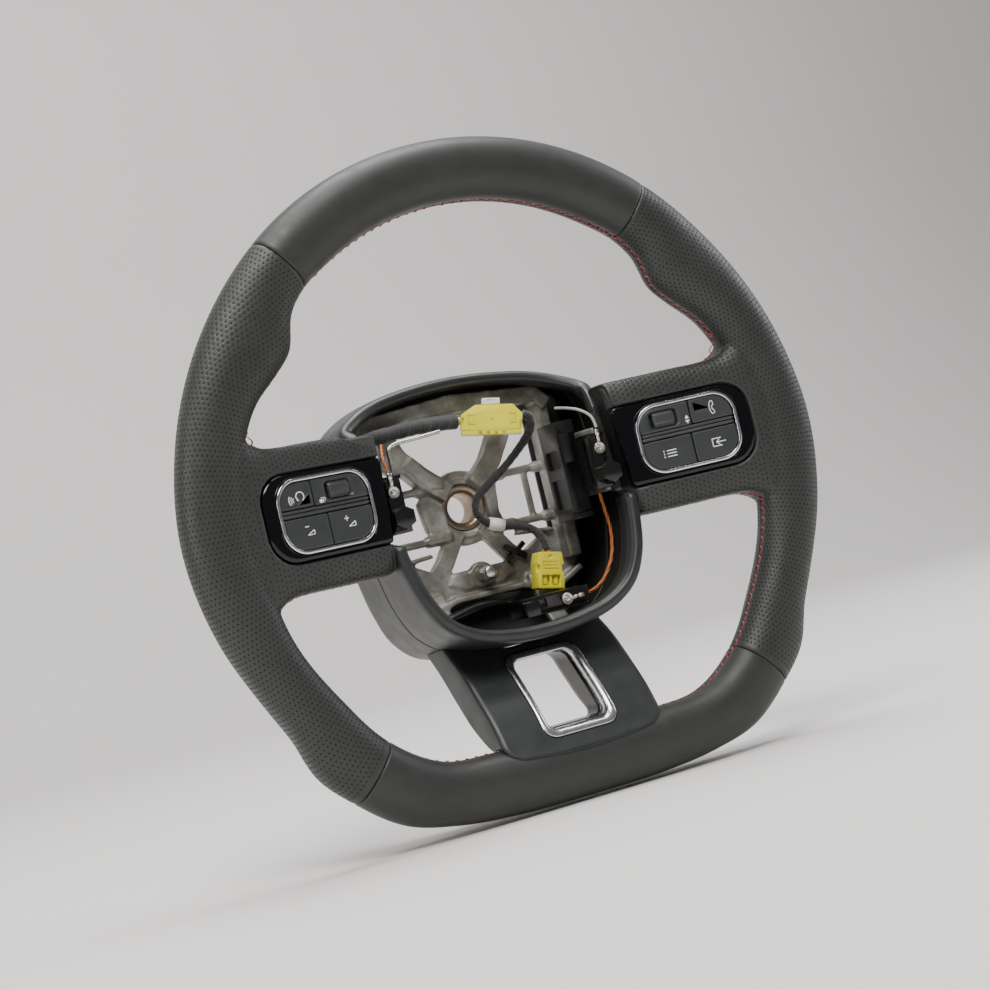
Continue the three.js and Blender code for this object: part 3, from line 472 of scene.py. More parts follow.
def tube_mesh(path, radius, sides=10, caps=True):
    """A round tube along points; radius may vary along it."""
    path = np.asarray(path, float)
    radii = np.broadcast_to(radius, len(path))
    tangents = np.gradient(path, axis=0)
    tangents /= np.linalg.norm(tangents, axis=1)[:, None]
    normal = np.cross(tangents[0], [0.31, 0.17, 0.93])
    normal /= np.linalg.norm(normal)
    angles = np.linspace(0, 2 * math.pi, sides, endpoint=False)
    rings = []
    for point, tangent, r in zip(path, tangents, radii):
        normal = normal - tangent * normal.dot(tangent)
        normal /= np.linalg.norm(normal)
        side = np.cross(tangent, normal)
        rings.append(point + r * (np.outer(np.cos(angles), normal) + np.outer(np.sin(angles), side)))
    return rings_mesh(rings, caps=caps)


def smooth_path(points, count, closed=False):
    """Centripetal Catmull-Rom curve through points, sampled evenly."""
    points = np.asarray(points, float)
    if closed:
        points = np.concatenate([points[-1:], points, points[:2]])
    else:
        points = np.concatenate([[2 * points[0] - points[1]], points, [2 * points[-1] - points[-2]]])
    steps = np.sqrt(np.maximum(np.linalg.norm(np.diff(points, axis=0), axis=1), 1e-9))
    knots = np.concatenate([[0], np.cumsum(steps)])
    dense = []
    for i in range(1, len(points) - 2):
        t0, t1, t2, t3 = knots[i - 1:i + 3]
        p0, p1, p2, p3 = points[i - 1:i + 3]
        t = np.linspace(t1, t2, 24, endpoint=False)[:, None]
        a1 = (t1 - t) / (t1 - t0) * p0 + (t - t0) / (t1 - t0) * p1
        a2 = (t2 - t) / (t2 - t1) * p1 + (t - t1) / (t2 - t1) * p2
        a3 = (t3 - t) / (t3 - t2) * p2 + (t - t2) / (t3 - t2) * p3
        b1 = (t2 - t) / (t2 - t0) * a1 + (t - t0) / (t2 - t0) * a2
        b2 = (t3 - t) / (t3 - t1) * a2 + (t - t1) / (t3 - t1) * a3
        dense.append((t2 - t) / (t2 - t1) * b1 + (t - t1) / (t2 - t1) * b2)
    dense = np.concatenate(dense + [points[-2:-1]])
    return resampled(dense, count, closed)


def resampled(path, count, closed=False):
    lengths = np.concatenate([[0], np.cumsum(np.linalg.norm(np.diff(path, axis=0), axis=1))])
    wanted = np.linspace(0, lengths[-1], count, endpoint=not closed)
    return np.stack([np.interp(wanted, lengths, path[:, k]) for k in range(path.shape[1])], axis=1)


def table_curve(table):
    """A smooth function through (x, y) pairs, flat at mirrored ends."""
    pairs = [(2 * table[0][0] - table[1][0], table[1][1])] + list(table)
    pairs.append((2 * table[-1][0] - table[-2][0], table[-2][1]))
    xs, ys = np.array(pairs, float).T
    slopes = np.gradient(ys, xs)

    def value(x):
        x = np.asarray(x, float)
        i = np.clip(np.searchsorted(xs, x, side="right") - 1, 0, len(xs) - 2)
        width = xs[i + 1] - xs[i]
        t = (x - xs[i]) / width
        return (ys[i] * (1 + 2 * t) * (1 - t) ** 2 + slopes[i] * width * t * (1 - t) ** 2
                + ys[i + 1] * t * t * (3 - 2 * t) + slopes[i + 1] * width * t * t * (t - 1))
    return value


def rounded_outline(corners, per_corner=10):
    """Corners (x, z, radius) as a closed polyline with true arcs."""
    points = []
    for i, (x, z, radius) in enumerate(corners):
        corner = np.array([x, z], float)
        before = np.array(corners[i - 1][:2], float) - corner
        after = np.array(corners[(i + 1) % len(corners)][:2], float) - corner
        before /= np.linalg.norm(before)
        after /= np.linalg.norm(after)
        half = math.acos(np.clip(before.dot(after), -1, 1)) / 2
        reach = radius / math.tan(half)
        middle = corner + (before + after) / np.linalg.norm(before + after) * radius / math.sin(half)
        start = corner + before * reach - middle
        end = corner + after * reach - middle
        for t in np.linspace(0, 1, per_corner):
            turn = math.pi - 2 * half
            blend = start * math.sin((1 - t) * turn) + end * math.sin(t * turn)
            points.append(middle + blend / math.sin(math.pi - 2 * half))
    return np.array(points)


def box_outline(half_width, z_low, z_high, radius, per_corner=10):
    return rounded_outline([(-half_width, z_low, radius), (half_width, z_low, radius),
                            (half_width, z_high, radius), (-half_width, z_high, radius)], per_corner)


def offset_outline(outline, inset):
    """The closed polyline moved inwards along its normals."""
    ahead = np.roll(outline, -1, axis=0) - outline
    behind = outline - np.roll(outline, 1, axis=0)
    ahead /= np.maximum(np.linalg.norm(ahead, axis=1), 1e-9)[:, None]
    behind /= np.maximum(np.linalg.norm(behind, axis=1), 1e-9)[:, None]
    tangent = ahead + behind
    tangent /= np.linalg.norm(tangent, axis=1)[:, None]
    normal = np.stack([-tangent[:, 1], tangent[:, 0]], axis=1)
    area = np.sum(outline[:, 0] * np.roll(outline[:, 1], -1) - np.roll(outline[:, 0], -1) * outline[:, 1])
    return outline + normal * inset * np.sign(area)


def lift(outline, y):
    """A flat x-z outline placed at depth y."""
    y = np.broadcast_to(y, len(outline))
    return np.stack([outline[:, 0], y, outline[:, 1]], axis=1)


def distance_to(outline, points):
    """Signed distance to a closed x-z polyline, negative inside."""
    start, end = outline, np.roll(outline, -1, axis=0)
    span = end - start
    rel = points[:, None, :] - start[None]
    t = np.clip((rel * span).sum(-1) / np.maximum((span ** 2).sum(-1), 1e-12), 0, 1)
    distance = np.linalg.norm(rel - t[..., None] * span, axis=-1).min(axis=1)
    above = (start[:, 1] > points[:, None, 1]) != (end[:, 1] > points[:, None, 1])
    rise = np.where(np.abs(span[:, 1]) < 1e-12, 1e-12, span[:, 1])
    crossing = start[:, 0] + (points[:, None, 1] - start[:, 1]) / rise * span[:, 0]
    inside = (above & (points[:, None, 0] < crossing)).sum(axis=1) % 2 == 1
    return np.where(inside, -distance, distance)


# ------------------------------------------------------------------ rim and grips
outer_radius = table_curve(RIM_OUTER)
inner_radius = table_curve(RIM_INNER)


def folded(degrees):
    return np.abs((np.asarray(degrees, float) + 180) % 360 - 180)


def rim_point(degrees, phi, inset=0.0):
    """A point of the rim's surface; phi 0 is the outside, 180 degrees the inside."""
    degrees, phi = np.broadcast_arrays(np.asarray(degrees, float), np.asarray(phi, float))
    outer, inner = outer_radius(folded(degrees)), inner_radius(folded(degrees))
    c, s = np.cos(phi), np.sin(phi)
    across = np.sign(c) * np.abs(c) ** (2 / RIM_ROUNDNESS) * ((outer - inner) / 2 - inset)
    deep = np.sign(s) * np.abs(s) ** (2 / RIM_ROUNDNESS) * (RIM_HALF_DEPTH - inset)
    radius = (outer + inner) / 2 + across
    angle = np.radians(degrees)
    return np.stack([np.sin(angle) * radius, deep, np.cos(angle) * radius], axis=-1)


def even_phis(degrees, count, start=0.0):
    """Section angles spaced evenly along the rim's girth, from the outside round."""
    phi = np.linspace(0, 2 * math.pi, 721)
    section = rim_point(degrees, phi)
    lengths = np.concatenate([[0], np.cumsum(np.linalg.norm(np.diff(section, axis=0), axis=1))])
    wanted = (np.arange(count) + start) / count * lengths[-1]
    return np.interp(wanted, lengths, phi)


SEAM_TURN = [(3.2, -0.55), (2.0, -0.5), (1.1, -0.35), (0.55, -0.12), (0.2, 0.3), (0.05, 0.8), (0, 1.6)]
GROOVE_DEPTH = 1.0
GROOVE_WIDTH = 1.1


def grooved(points, degrees):
    """Presses the lacing groove into the inner girth."""
    inner_line = rim_point(degrees, math.pi)
    away = np.linalg.norm(points - inner_line, axis=-1)
    depth = GROOVE_DEPTH * np.exp(-(away / GROOVE_WIDTH) ** 2)
    angle = np.radians(degrees)
    outward = np.stack([np.sin(angle), np.zeros_like(angle), np.cos(angle)], axis=-1)
    return points + outward * depth[..., None]


def rim_panel(name, start, end, paint):
    """A smooth leather panel, turned in at both seams."""
    girth = 104
    per_mm = 180 / (math.pi * RIM_RADIUS)
    stations = [(start - along * -per_mm, inset) for inset, along in SEAM_TURN]
    stations += [(angle, 0.0) for angle in np.arange(start + 1, end - 0.9, 0.5)]
    stations += [(end - along * per_mm, inset) for inset, along in reversed(SEAM_TURN)]
    rings = []
    for angle, inset in stations:
        phis = even_phis(angle, girth)
        rings.append(grooved(rim_point(angle, phis, inset), np.full(girth, angle)))
    points, faces = rings_mesh(rings)
    return build(name, points, faces, paint)


def superellipse(count, power):
    angles = np.linspace(0, 2 * math.pi, count, endpoint=False)
    c, s = np.cos(angles), np.sin(angles)
    return (np.sign(c) * np.abs(c) ** (2 / power), np.sign(s) * np.abs(s) ** (2 / power))


# The upper lacing runs to the hub's shoulder, which covers more of the left spoke.
UPPER_LACING_END = {-1: 90.0, 1: 71.0}
# Plane that the left spoke's upper inner corner is trimmed to, where the shoulder lies over it.
TRIM_POINT = np.array([-91.0, 5.0, 41.0])
TRIM_NORMAL = np.array([0.391, -0.189, 0.9])


def spoke_frame(x):
    """Bottom, top, front and back of the spoke at distances x from the centre."""
    table = np.array(SPOKES, float)
    return [np.interp(x, table[:, 0], table[:, k]) for k in range(1, 5)]


def spoke_end(z):
    """Where the spoke's leather stops at the hub: further out towards the bottom."""
    return 68.2 + (41 - z) * 0.062


def spoke_point(side, x, u, v):
    """A point of the spoke's section at x; u and v run from -1 to 1 in height and depth."""
    bottom, top, front, back = spoke_frame(x)
    z = (bottom + top) / 2 + u * (top - bottom) / 2
    y = (front + back) / 2 + v * (back - front) / 2
    reach = np.maximum(x, spoke_end(z))
    return np.stack([side * reach, y, z], axis=-1)


def bezel_outline(side, grow=0.0):
    corners = [(side * (-36.4 - grow), -22.5 - grow, 2.5), (side * (36.3 + grow), -22.5 - grow, 15),
               (side * (36.3 + grow), 22 + grow, 15), (side * (-39.5 - grow), 22 + grow, 2.5)]
    return rounded_outline(corners if side > 0 else corners[::-1], 12)


def pad_axes(side):
    c, s = math.cos(PAD_TURN), math.sin(PAD_TURN)
    along = np.array([c, -side * s, 0])
    inward = np.array([side * s, c, 0])
    return along, inward, np.array([0, 0, 1.0])


def from_pad(side, points):
    """Pad coordinates (x to the right, y into the wheel, z up) into the rim's frame."""
    points = np.asarray(points, float)
    centre = PAD_CENTRE * np.array([side, 1, 1])
    return points @ np.array(pad_axes(side)) + centre


def into_pad(side, points):
    return (np.asarray(points, float) - PAD_CENTRE * np.array([side, 1, 1])) @ np.array(pad_axes(side)).T


def grip_holes(side, tree):
    """Centres and outward directions of the perforations on one grip and its spoke."""
    pitch, row = 2.8, 2.42
    spots = []
    outline = bezel_outline(side, 1.7)

    def shoot(surface, outward):
        outward = outward / np.linalg.norm(outward)
        start = surface + outward * 4
        hit, normal, _, distance = tree.ray_cast(Vector(start * MM), Vector(-outward))
        if hit is None or distance > 8 * MM or normal.dot(Vector(outward)) < 0.35:
            return
        point = np.array(hit) / MM
        facing = np.array(normal)
        local = into_pad(side, point[None])
        if local[0, 1] < 12 and distance_to(outline, local[:, [0, 2]])[0] < 0:
            return
        spots.append((point, facing))

    mid = (RIM_OUTER[0][1] + RIM_INNER[0][1]) / 2
    step = math.degrees(row / mid)
    girth = 42
    for i, angle in enumerate(np.arange(TOP_SEAM + 1.25, BOTTOM_SEAM - 1.1, step)):
        phis = even_phis(angle, girth, 0.5 * (i % 2))
        signed = side * angle
        centre = (rim_point(signed, 0.0) + rim_point(signed, math.pi)) / 2
        on_spoke = 73 < angle < 104
        for phi, edge in zip(phis, rim_point(np.full(girth, signed), phis)):
            inner_line = rim_point(signed, math.pi)
            if np.linalg.norm(edge - inner_line) < 3.4 or (on_spoke and math.cos(phi) < -0.8):
                continue
            shoot(edge, edge - centre)
    rim_count = len(spots)
    kd = KDTree(rim_count)
    for i, (point, _) in enumerate(spots):
        kd.insert(point, i)
    kd.balance()
    kept = spots[:]
    spots.clear()
    us, vs = superellipse(720, SPOKE_ROUNDNESS)
    for i, x in enumerate(np.arange(71.5, 151, row)):
        section = spoke_point(side, np.full(720, x), us, vs)
        lengths = np.concatenate([[0], np.cumsum(np.linalg.norm(np.diff(section, axis=0), axis=1))])
        girth_here = int(round(lengths[-1] / pitch))
        wanted = (np.arange(girth_here) + 0.5 * (i % 2)) / girth_here * lengths[-1]
        edges = np.stack([np.interp(wanted, lengths, section[:, k]) for k in range(3)], axis=1)
        bottom, top, front, back = spoke_frame(x)
        centre = np.array([side * x, (front + back) / 2, (bottom + top) / 2])
        for edge in edges:
            on_seam = x < 138 and abs(edge[1] - centre[1]) < 3.2
            if not on_seam:
                lean = (edge - centre) / np.array([1, (back - front) / 2, (top - bottom) / 2])
                shoot(edge, np.sign(lean) * np.abs(lean) ** (SPOKE_ROUNDNESS - 1) + [0, 1e-6, 0])
    for spot in spots:
        if kd.find(spot[0])[2] > 2.2:
            kept.append(spot)
    points = np.array([spot[0] for spot in kept])
    facings = np.array([spot[1] for spot in kept])
    return points, facings


def lacing_path(side):
    """The sewn line round a window: down the rim, along the spoke's edge to the hub."""
    def rim_line(start, end):
        return rim_point(side * np.arange(start, end, 0.4), math.pi)

    def spoke_line(edge, xs):
        bottom, top, front, back = spoke_frame(xs)
        z = top if edge > 0 else bottom
        return np.stack([side * xs, (front + back) / 2, z], axis=-1)

    upper_end = UPPER_LACING_END[side]
    upper = np.concatenate([rim_line(0, 69), spoke_line(1, np.arange(128, upper_end, -1.0))])
    lower = np.concatenate([spoke_line(-1, np.arange(73, 131, 1.0)), rim_line(105, 164)])
    return smooth_path(upper[::6], 420), smooth_path(lower[::6], 340)


def laid_on(tree, line):
    """A line drawn onto the leather, with the leather's outward direction along it."""
    points, normals = [], []
    for point in line:
        hit, normal, _, _ = tree.find_nearest(Vector(to_row(point)))
        points.append(np.array(hit) / MM - RIM_CENTRE)
        normals.append(np.array(normal))
    points, normals = np.array(points), np.array(normals)
    for _ in range(6):
        points[1:-1] = (points[:-2] + 2 * points[1:-1] + points[2:]) / 4
    for _ in range(12):
        normals[1:-1] = (normals[:-2] + 2 * normals[1:-1] + normals[2:]) / 4
    return points, normals / np.linalg.norm(normals, axis=1)[:, None]


def press_line(points, line, depth, width, inward):
    """Moves points near a line along inward, as a pulled thread does."""
    kd = KDTree(len(line))
    for i, point in enumerate(line):
        kd.insert(point, i)
    kd.balance()
    gaps = np.array([kd.find(point)[2] for point in points])
    return points + inward * (depth * np.exp(-(gaps / width) ** 2))[:, None]


def grip(name):
    """A perforated grip and its spoke sleeve in one skin, with its holes."""
    side = SIDES[name]
    angles = side * np.linspace(TOP_SEAM + 0.12, BOTTOM_SEAM - 0.12, 90)
    rim = rings_mesh([rim_point(angle, even_phis(angle, 72)) for angle in angles])
    us, vs = superellipse(72, SPOKE_ROUNDNESS)
    xs = np.concatenate([[66], np.linspace(78, 152, 30)])
    table = np.array(SPOKES, float)
    smooth_frames = [smooth_path(table[:, [0, k]], 400) for k in range(1, 5)]
    spoke_rings = []
    for x in xs:
        bottom, top, front, back = [np.interp(x, line[:, 0], line[:, 1]) for line in smooth_frames]
        z = (bottom + top) / 2 + us * (top - bottom) / 2
        y = (front + back) / 2 + vs * (back - front) / 2
        spoke_rings.append(np.stack([side * np.maximum(x, spoke_end(z)), y, z], axis=-1))
    spoke = rings_mesh(spoke_rings)
    points, faces = joined_parts([rim, spoke])
    obj = build(f"leather_grip_{name}_skin", points, faces, "leather_perforated")
    voxel = 0.85
    modified(obj, ("REMESH", {"mode": "VOXEL", "voxel_size": voxel * MM, "use_smooth_shade": True}),
             ("SMOOTH", {"factor": 0.5, "iterations": 14}))
    mesh = obj.data
    count = len(mesh.vertices)
    coords = np.empty(count * 3)
    mesh.vertices.foreach_get("co", coords)
    coords = coords.reshape(-1, 3) / MM
    normals = np.empty(count * 3)
    mesh.vertices.foreach_get("normal", normals)
    normals = normals.reshape(-1, 3)
    rim_frame = coords - RIM_CENTRE
    local = into_pad(side, rim_frame)
    edge = distance_to(bezel_outline(side, 0.25), local[:, [0, 2]])
    front = (local[:, 1] < 9) & (normals @ pad_axes(side)[1] < 0.3)
    sink = np.clip(0.5 - edge / 1.3, 0, 1)
    sink = sink * sink * (3 - 2 * sink)
    target = local[:, 1] + sink * (6.0 - local[:, 1])
    local[:, 1] = np.where(front & (edge < 0.7), np.maximum(local[:, 1], target), local[:, 1])
    rim_frame = from_pad(side, local)
    if side < 0:
        over = np.maximum((rim_frame - TRIM_POINT) @ TRIM_NORMAL, 0)
        over = np.where((rim_frame[:, 0] > -97) & (np.abs(rim_frame[:, 2]) < 60), over, 0)
        rim_frame = rim_frame - over[:, None] * TRIM_NORMAL
    mesh.vertices.foreach_set("co", (rim_frame + RIM_CENTRE).ravel() * MM)
    mesh.update()
    work = bmesh.new()
    work.from_mesh(mesh)
    work.transform(Matrix.Translation(Vector(-RIM_CENTRE * MM)))
    tree = BVHTree.FromBMesh(work)
    holes, facings = grip_holes(side, tree)
    work.free()
    kd = KDTree(len(holes))
    for i, point in enumerate(holes):
        kd.insert(point, i)
    kd.balance()
    gaps = np.array([kd.find(point)[2] for point in rim_frame])
    rim_frame = rim_frame - normals * (0.34 * np.exp(-(gaps / 0.7) ** 2))[:, None]
    for line in lacing_path(side):
        rim_frame = press_line(rim_frame, line, 1.0, 1.2, -normals)
    mesh.vertices.foreach_set("co", (rim_frame + RIM_CENTRE).ravel() * MM)
    mesh.polygons.foreach_set("use_smooth", [True] * len(mesh.polygons))
    mesh.update()
    # Painted shade: the leather's faces inside the hub, at the spoke's end, take the dark pocket black instead of
    # leather.
    mesh.materials.append(PAINTS["pocket_shade_black"])
    for face in mesh.polygons:
        centre = np.array(face.center) / MM - RIM_CENTRE
        if side * centre[0] < spoke_end(centre[2]) + 0.7:
            face.material_index = 1
    finish_piece(obj, "leather_perforated", f"leather_grip_{name}")
    finish_piece(hole_shade_discs(f"perforations_{name}", holes, facings), "leather_perforated")
    return obj


def hole_shade_discs(name, centres, facings, radius=0.45):
    """Small dark dished discs, one at the bottom of each perforation: painted shade that stands for the holes'
    depth.
    """
    sides = 8
    helper = np.where(np.abs(facings[:, [1]]) < 0.8, np.array([[0, 1.0, 0]]), np.array([[1.0, 0, 0]]))
    a = np.cross(facings, helper)
    a /= np.linalg.norm(a, axis=1)[:, None]
    b = np.cross(facings, a)
    angles = np.linspace(0, 2 * math.pi, sides, endpoint=False)
    ring = (centres[:, None] - 0.07 * facings[:, None]
            + radius * (np.cos(angles)[None, :, None] * a[:, None] + np.sin(angles)[None, :, None] * b[:, None]))
    top = (centres - 0.16 * facings)[:, None]
    bottom = (centres - 0.7 * facings)[:, None]
    points = np.concatenate([ring, top, bottom], axis=1).reshape(-1, 3)
    faces = []
    for i in range(len(centres)):
        start = i * (sides + 2)
        for j in range(sides):
            k = (j + 1) % sides
            faces.append((start + j, start + k, start + sides))
            faces.append((start + k, start + j, start + sides + 1))
    mesh = bpy.data.meshes.new(name)
    mesh.from_pydata(to_row(points).tolist(), [], faces)
    return new_object(name, mesh, "hole")


def stitches(name, line, normals):
    """Zig-zag lacing that crosses a line on the leather."""
    spacing, half, rise, radius = 5.4, 1.9, 0.5, 0.38
    lengths = np.concatenate([[0], np.cumsum(np.linalg.norm(np.diff(line, axis=0), axis=1))])
    count = int(lengths[-1] // spacing)

    def at(values, distance):
        return np.array([np.interp(distance, lengths, values[:, k]) for k in range(3)])

    parts = []
    for i in range(count):
        for shift, span, lift_by, thick, sign in ((0.0, 0.42, rise, radius, 1),
                                                  (0.42, 0.58, 0.15, radius * 0.75, -1)):
            strand = []
            for t in np.linspace(0, 1, 7):
                here = (i + 0.3 + shift + span * t) * spacing
                tangent = at(line, here + 0.5) - at(line, here - 0.5)
                tangent /= np.linalg.norm(tangent) + 1e-9
                out = at(normals, here)
                out = out - tangent * out.dot(tangent)
                out /= np.linalg.norm(out)
                across = np.cross(tangent, out)
                strand.append(at(line, here) + across * (sign * half * (1 - 2 * t))
                              + out * (lift_by * math.sin(math.pi * t) + 0.1))
            parts.append(tube_mesh(strand, thick, 7))
    return build(name, *joined_parts(parts), "thread")


def make_leather():
    top = rim_panel("leather_top_skin", -TOP_SEAM, TOP_SEAM, "leather")
    bottom = rim_panel("leather_bottom_skin", BOTTOM_SEAM, 360 - BOTTOM_SEAM, "leather")
    finish_piece(top, "leather", "leather_top")
    finish_piece(bottom, "leather", "leather_bottom")
    skins = [top, bottom] + [grip(name) for name in SIDES]
    hide = bmesh.new()
    for skin in skins:
        hide.from_mesh(skin.data)
    tree = BVHTree.FromBMesh(hide)
    hide.free()
    for name, side in SIDES.items():
        for where, line in zip(("upper", "lower"), lacing_path(side)):
            lacing = stitches(f"lacing_{where}_{name}", *laid_on(tree, line))
            finish_piece(lacing, "leather")


# ------------------------------------------------------------------ hub shells
def hub_outline(half, count=220):
    """The hub's closed outline, even along its length, starting at the top."""
    left = [(-x, z) for x, z in half[1:-1]][::-1]
    return smooth_path(np.array(list(half) + left, float), count, closed=True)


HUB_OUTLINES = [hub_outline(half) for half in (HUB_FRONT, HUB_FRONT, HUB_SHOULDER, HUB_REAR)]
HUB_DEPTHS = [-10.0, 12.0, 38.0, 90.0]
sweep_path = smooth_path(np.array(HUB_SWEEP, float), 300)


def hub_skin(y):
    """Each outline point at its own depth y, between the drawn outlines."""
    weights = np.array([np.interp(y, HUB_DEPTHS, np.eye(4)[k]) for k in range(4)])
    return sum(weights[k][:, None] * HUB_OUTLINES[k] for k in range(4))


def hub_ring(depth, inset):
    """A ring that follows the swept front edge, a depth behind it and inset from the skin."""
    y = np.full(len(HUB_OUTLINES[0]), 20.0)
    for _ in range(6):
        outline = hub_skin(y)
        y = np.interp(outline[:, 1], sweep_path[:, 0], sweep_path[:, 1]) + depth
    outline = offset_outline(hub_skin(y), inset)
    return np.stack([outline[:, 0], y, outline[:, 1]], axis=1)


def split_ring(shift, inset):
    """A ring along the joint between bezel and rear cover."""
    split = np.array(HUB_SPLIT, float)
    y = np.full(len(HUB_OUTLINES[0]), 45.0)
    for _ in range(6):
        outline = hub_skin(y)
        y = np.interp(outline[:, 1], split[:, 0], split[:, 1]) + shift
    outline = offset_outline(hub_skin(y), inset)
    return np.stack([outline[:, 0], y, outline[:, 1]], axis=1)


def between(start, end, share, inset):
    """A ring part of the way in depth from one ring to another, on the hub's skin."""
    y = start[:, 1] + (end[:, 1] - start[:, 1]) * share
    outline = offset_outline(hub_skin(y), inset)
    return np.stack([outline[:, 0], y, outline[:, 1]], axis=1)


def behind_pads(ring, inset):
    """Keeps a ring clear of the switch pads, whose inner ends are the pocket's sides there."""
    ring = ring.copy()
    for side in SIDES.values():
        local = into_pad(side, ring)
        near = (ring[:, 0] * side > 40) & (local[:, 2] > -24.5) & (local[:, 2] < 24.2)
        floor = 17.9 + inset
        blend = np.clip(np.minimum(local[:, 2] + 24.5, 24.2 - local[:, 2]) / 2.0, 0, 1)
        pushed = local[:, 1] * (1 - blend) + floor * blend
        local[:, 1] = np.where(near, np.maximum(local[:, 1], pushed), local[:, 1])
        ring = np.where(near[:, None], from_pad(side, local), ring)
    return ring


# Inset and depth behind the swept edge, from the outer wall over the lip into the pocket.
LIP_PROFILE = [(9, 0), (5, 0.05), (2.8, 0.35), (1.3, 1.0), (0.45, 2.0), (0.05, 3.2), (0, 4.6),
               (0.25, 5.6), (0.9, 6.05), (1.2, 6.2), (2.0, 6.5), (2.7, 7.1), (3.4, 7.25), (6, 7.3)]


def make_hub():
    lip = [behind_pads(hub_ring(depth, inset), depth * 0.05) for depth, inset in LIP_PROFILE]
    outer_start, joint = hub_ring(9, 0), split_ring(-0.2, 0)
    outer = [behind_pads(between(outer_start, joint, t, 0.0), 0.5 + 2 * t)
             for t in np.linspace(0.94, 0.08, 12)]
    rolled = [behind_pads(split_ring(-0.2, 0.5), 2.5), behind_pads(split_ring(-0.6, 0.05), 2.5)]
    inner_start, inner_joint = hub_ring(6, 0), split_ring(-0.2, 0)
    inner = []
    for t in np.linspace(0.05, 1.0, 14):
        inset = 7.3 + (2.6 - 7.3) * min(1.0, max(0.0, (t - 0.25) / 0.3))
        inner.append(behind_pads(between(inner_start, inner_joint, t, inset), 0.5 + 2 * t))
    bezel = rings_mesh(rolled + outer + lip + inner, closed=True)
    shell = build("hub_bezel_shell", *bezel, "satin_plastic")
    finish_piece(shade_pocket_faces(shell), "satin_plastic", "hub_bezel")

    start, back = split_ring(0.3, 0), lift(HUB_OUTLINES[3], 76.5)
    rings = [behind_pads(between(start, back, t, inset), 2.9) for t, inset in ((0.0, 0.55), (0.02, 0.05))]
    rings += [behind_pads(between(start, back, t, 0.0), 2.9) for t in np.linspace(0.06, 1, 14)]
    for y, inset in ((77.9, 0.2), (78.9, 0.9), (79.6, 2.0), (79.9, 3.6), (80.0, 8.0)):
        outline = offset_outline(hub_skin(np.full(len(HUB_OUTLINES[0]), HUB_BACK_Y)), inset)
        rings.append(lift(outline, y))
    opening = flange_opening()
    rings += [lift(opening, 80.0), lift(opening, 77.2)]
    for y, inset in ((77.0, 3.6), (76.0, 2.7)):
        rings.append(lift(offset_outline(hub_skin(np.full(len(HUB_OUTLINES[0]), HUB_BACK_Y)), inset), y))
    rings += [behind_pads(between(start, back, t, 2.5), 2.9) for t in np.linspace(0.97, 0, 12)]
    cover = build("rear_cover_shell", *rings_mesh(rings, closed=True), "satin_plastic")
    finish_piece(shade_pocket_faces(cover), "satin_plastic", "rear_cover")
    for i, (x, z) in enumerate(((-55, 34), (55, 34), (-55, -34), (55, -34))):
        finish_piece(cover_screw(f"cover_screw_{i + 1}_head", x, z), "steel", f"cover_screw_{i + 1}")


def flange_opening():
    """The opening in the rear cover's back wall, matched point for point to the hub's outline."""
    opening = even_outline(box_outline(50, -52, 44, 11, 16), 400)
    centre = np.array([0.0, -8.0])
    angle = np.arctan2(*(HUB_OUTLINES[3] - centre).T[::-1])
    return around(opening, centre, angle)


def around(outline, centre, angle):
    """Points of a closed outline at the given directions from a centre."""
    own = np.arctan2(*(outline - centre).T[::-1])
    order = np.argsort(own)
    return np.stack([np.interp(angle, own[order], outline[order, k], period=2 * math.pi)
                     for k in range(2)], axis=1)


def shade_pocket_faces(shell):
    """Paints shade into the pocket: faces that look into it, behind the lip, get a black far darker than the satin
    plastic.
    """
    shell.data.materials.append(PAINTS["pocket_shade_black"])
    for face in shell.data.polygons:
        centre = np.array(face.center) / MM - RIM_CENTRE
        inward = -face.normal.x * centre[0] - face.normal.z * (centre[2] + 10)
        behind = np.interp(centre[2], sweep_path[:, 0], sweep_path[:, 1]) + 7
        # Painted shade: faces turned towards the hub's middle and deeper than the lip behind the swept edge.
        if inward > 4 and centre[1] > behind:
            face.material_index = 1
    return shell


def turned(profile, centre, axis="y", sides=48):
    """A lathed body round an axis: (radius, position) pairs."""
    angles = np.linspace(0, 2 * math.pi, sides, endpoint=False)
    rings = []
    for radius, along in profile:
        ring = np.stack([radius * np.cos(angles), np.full(sides, float(along)), radius * np.sin(angles)],
                        axis=1)
        rings.append(ring if axis == "y" else ring[:, [1, 0, 2]])
    points, faces = rings_mesh(rings)
    return points + np.asarray(centre, float), faces


def cover_screw(name, x, z):
    head = [(0.3, 66), (1.6, 66.2), (1.9, 66.8), (1.9, 80.2), (4.0, 80.3), (4.0, 81.0), (3.7, 82.0),
            (2.9, 82.8), (2.2, 83.0)]
    screw = build(name, *turned(head, (x, 0, z), sides=40), "steel")
    socket = build("socket", *turned([(1.7, 81.0), (1.7, 84.0)], (x, 0, z), sides=6), "steel")
    return smooth_by_angle(cut(screw, socket), 30)


# ------------------------------------------------------------------ lower spoke
face_path = smooth_path(np.array([(z, y) for y, z in LOWER_FACE], float), 200)
back_path = smooth_path(np.array([(z, y) for y, z in LOWER_BACK], float), 200)


def face_y(z):
    order = np.argsort(face_path[:, 0])
    return np.interp(z, face_path[order, 0], face_path[order, 1])


def back_y(z):
    order = np.argsort(back_path[:, 0])
    return np.interp(z, back_path[order, 0], back_path[order, 1])


def frame_outline(inset, radius, per_corner=12):
    outline = box_outline(FRAME_HALF - inset, FRAME_LOW + inset, FRAME_HIGH - inset, radius, per_corner)
    return even_outline(outline, 160)


def follow_face(outline, depth):
    """An x-z outline laid on the lower spoke's face and sunk by depth."""
    return lift(outline, face_y(outline[:, 1]) + depth)


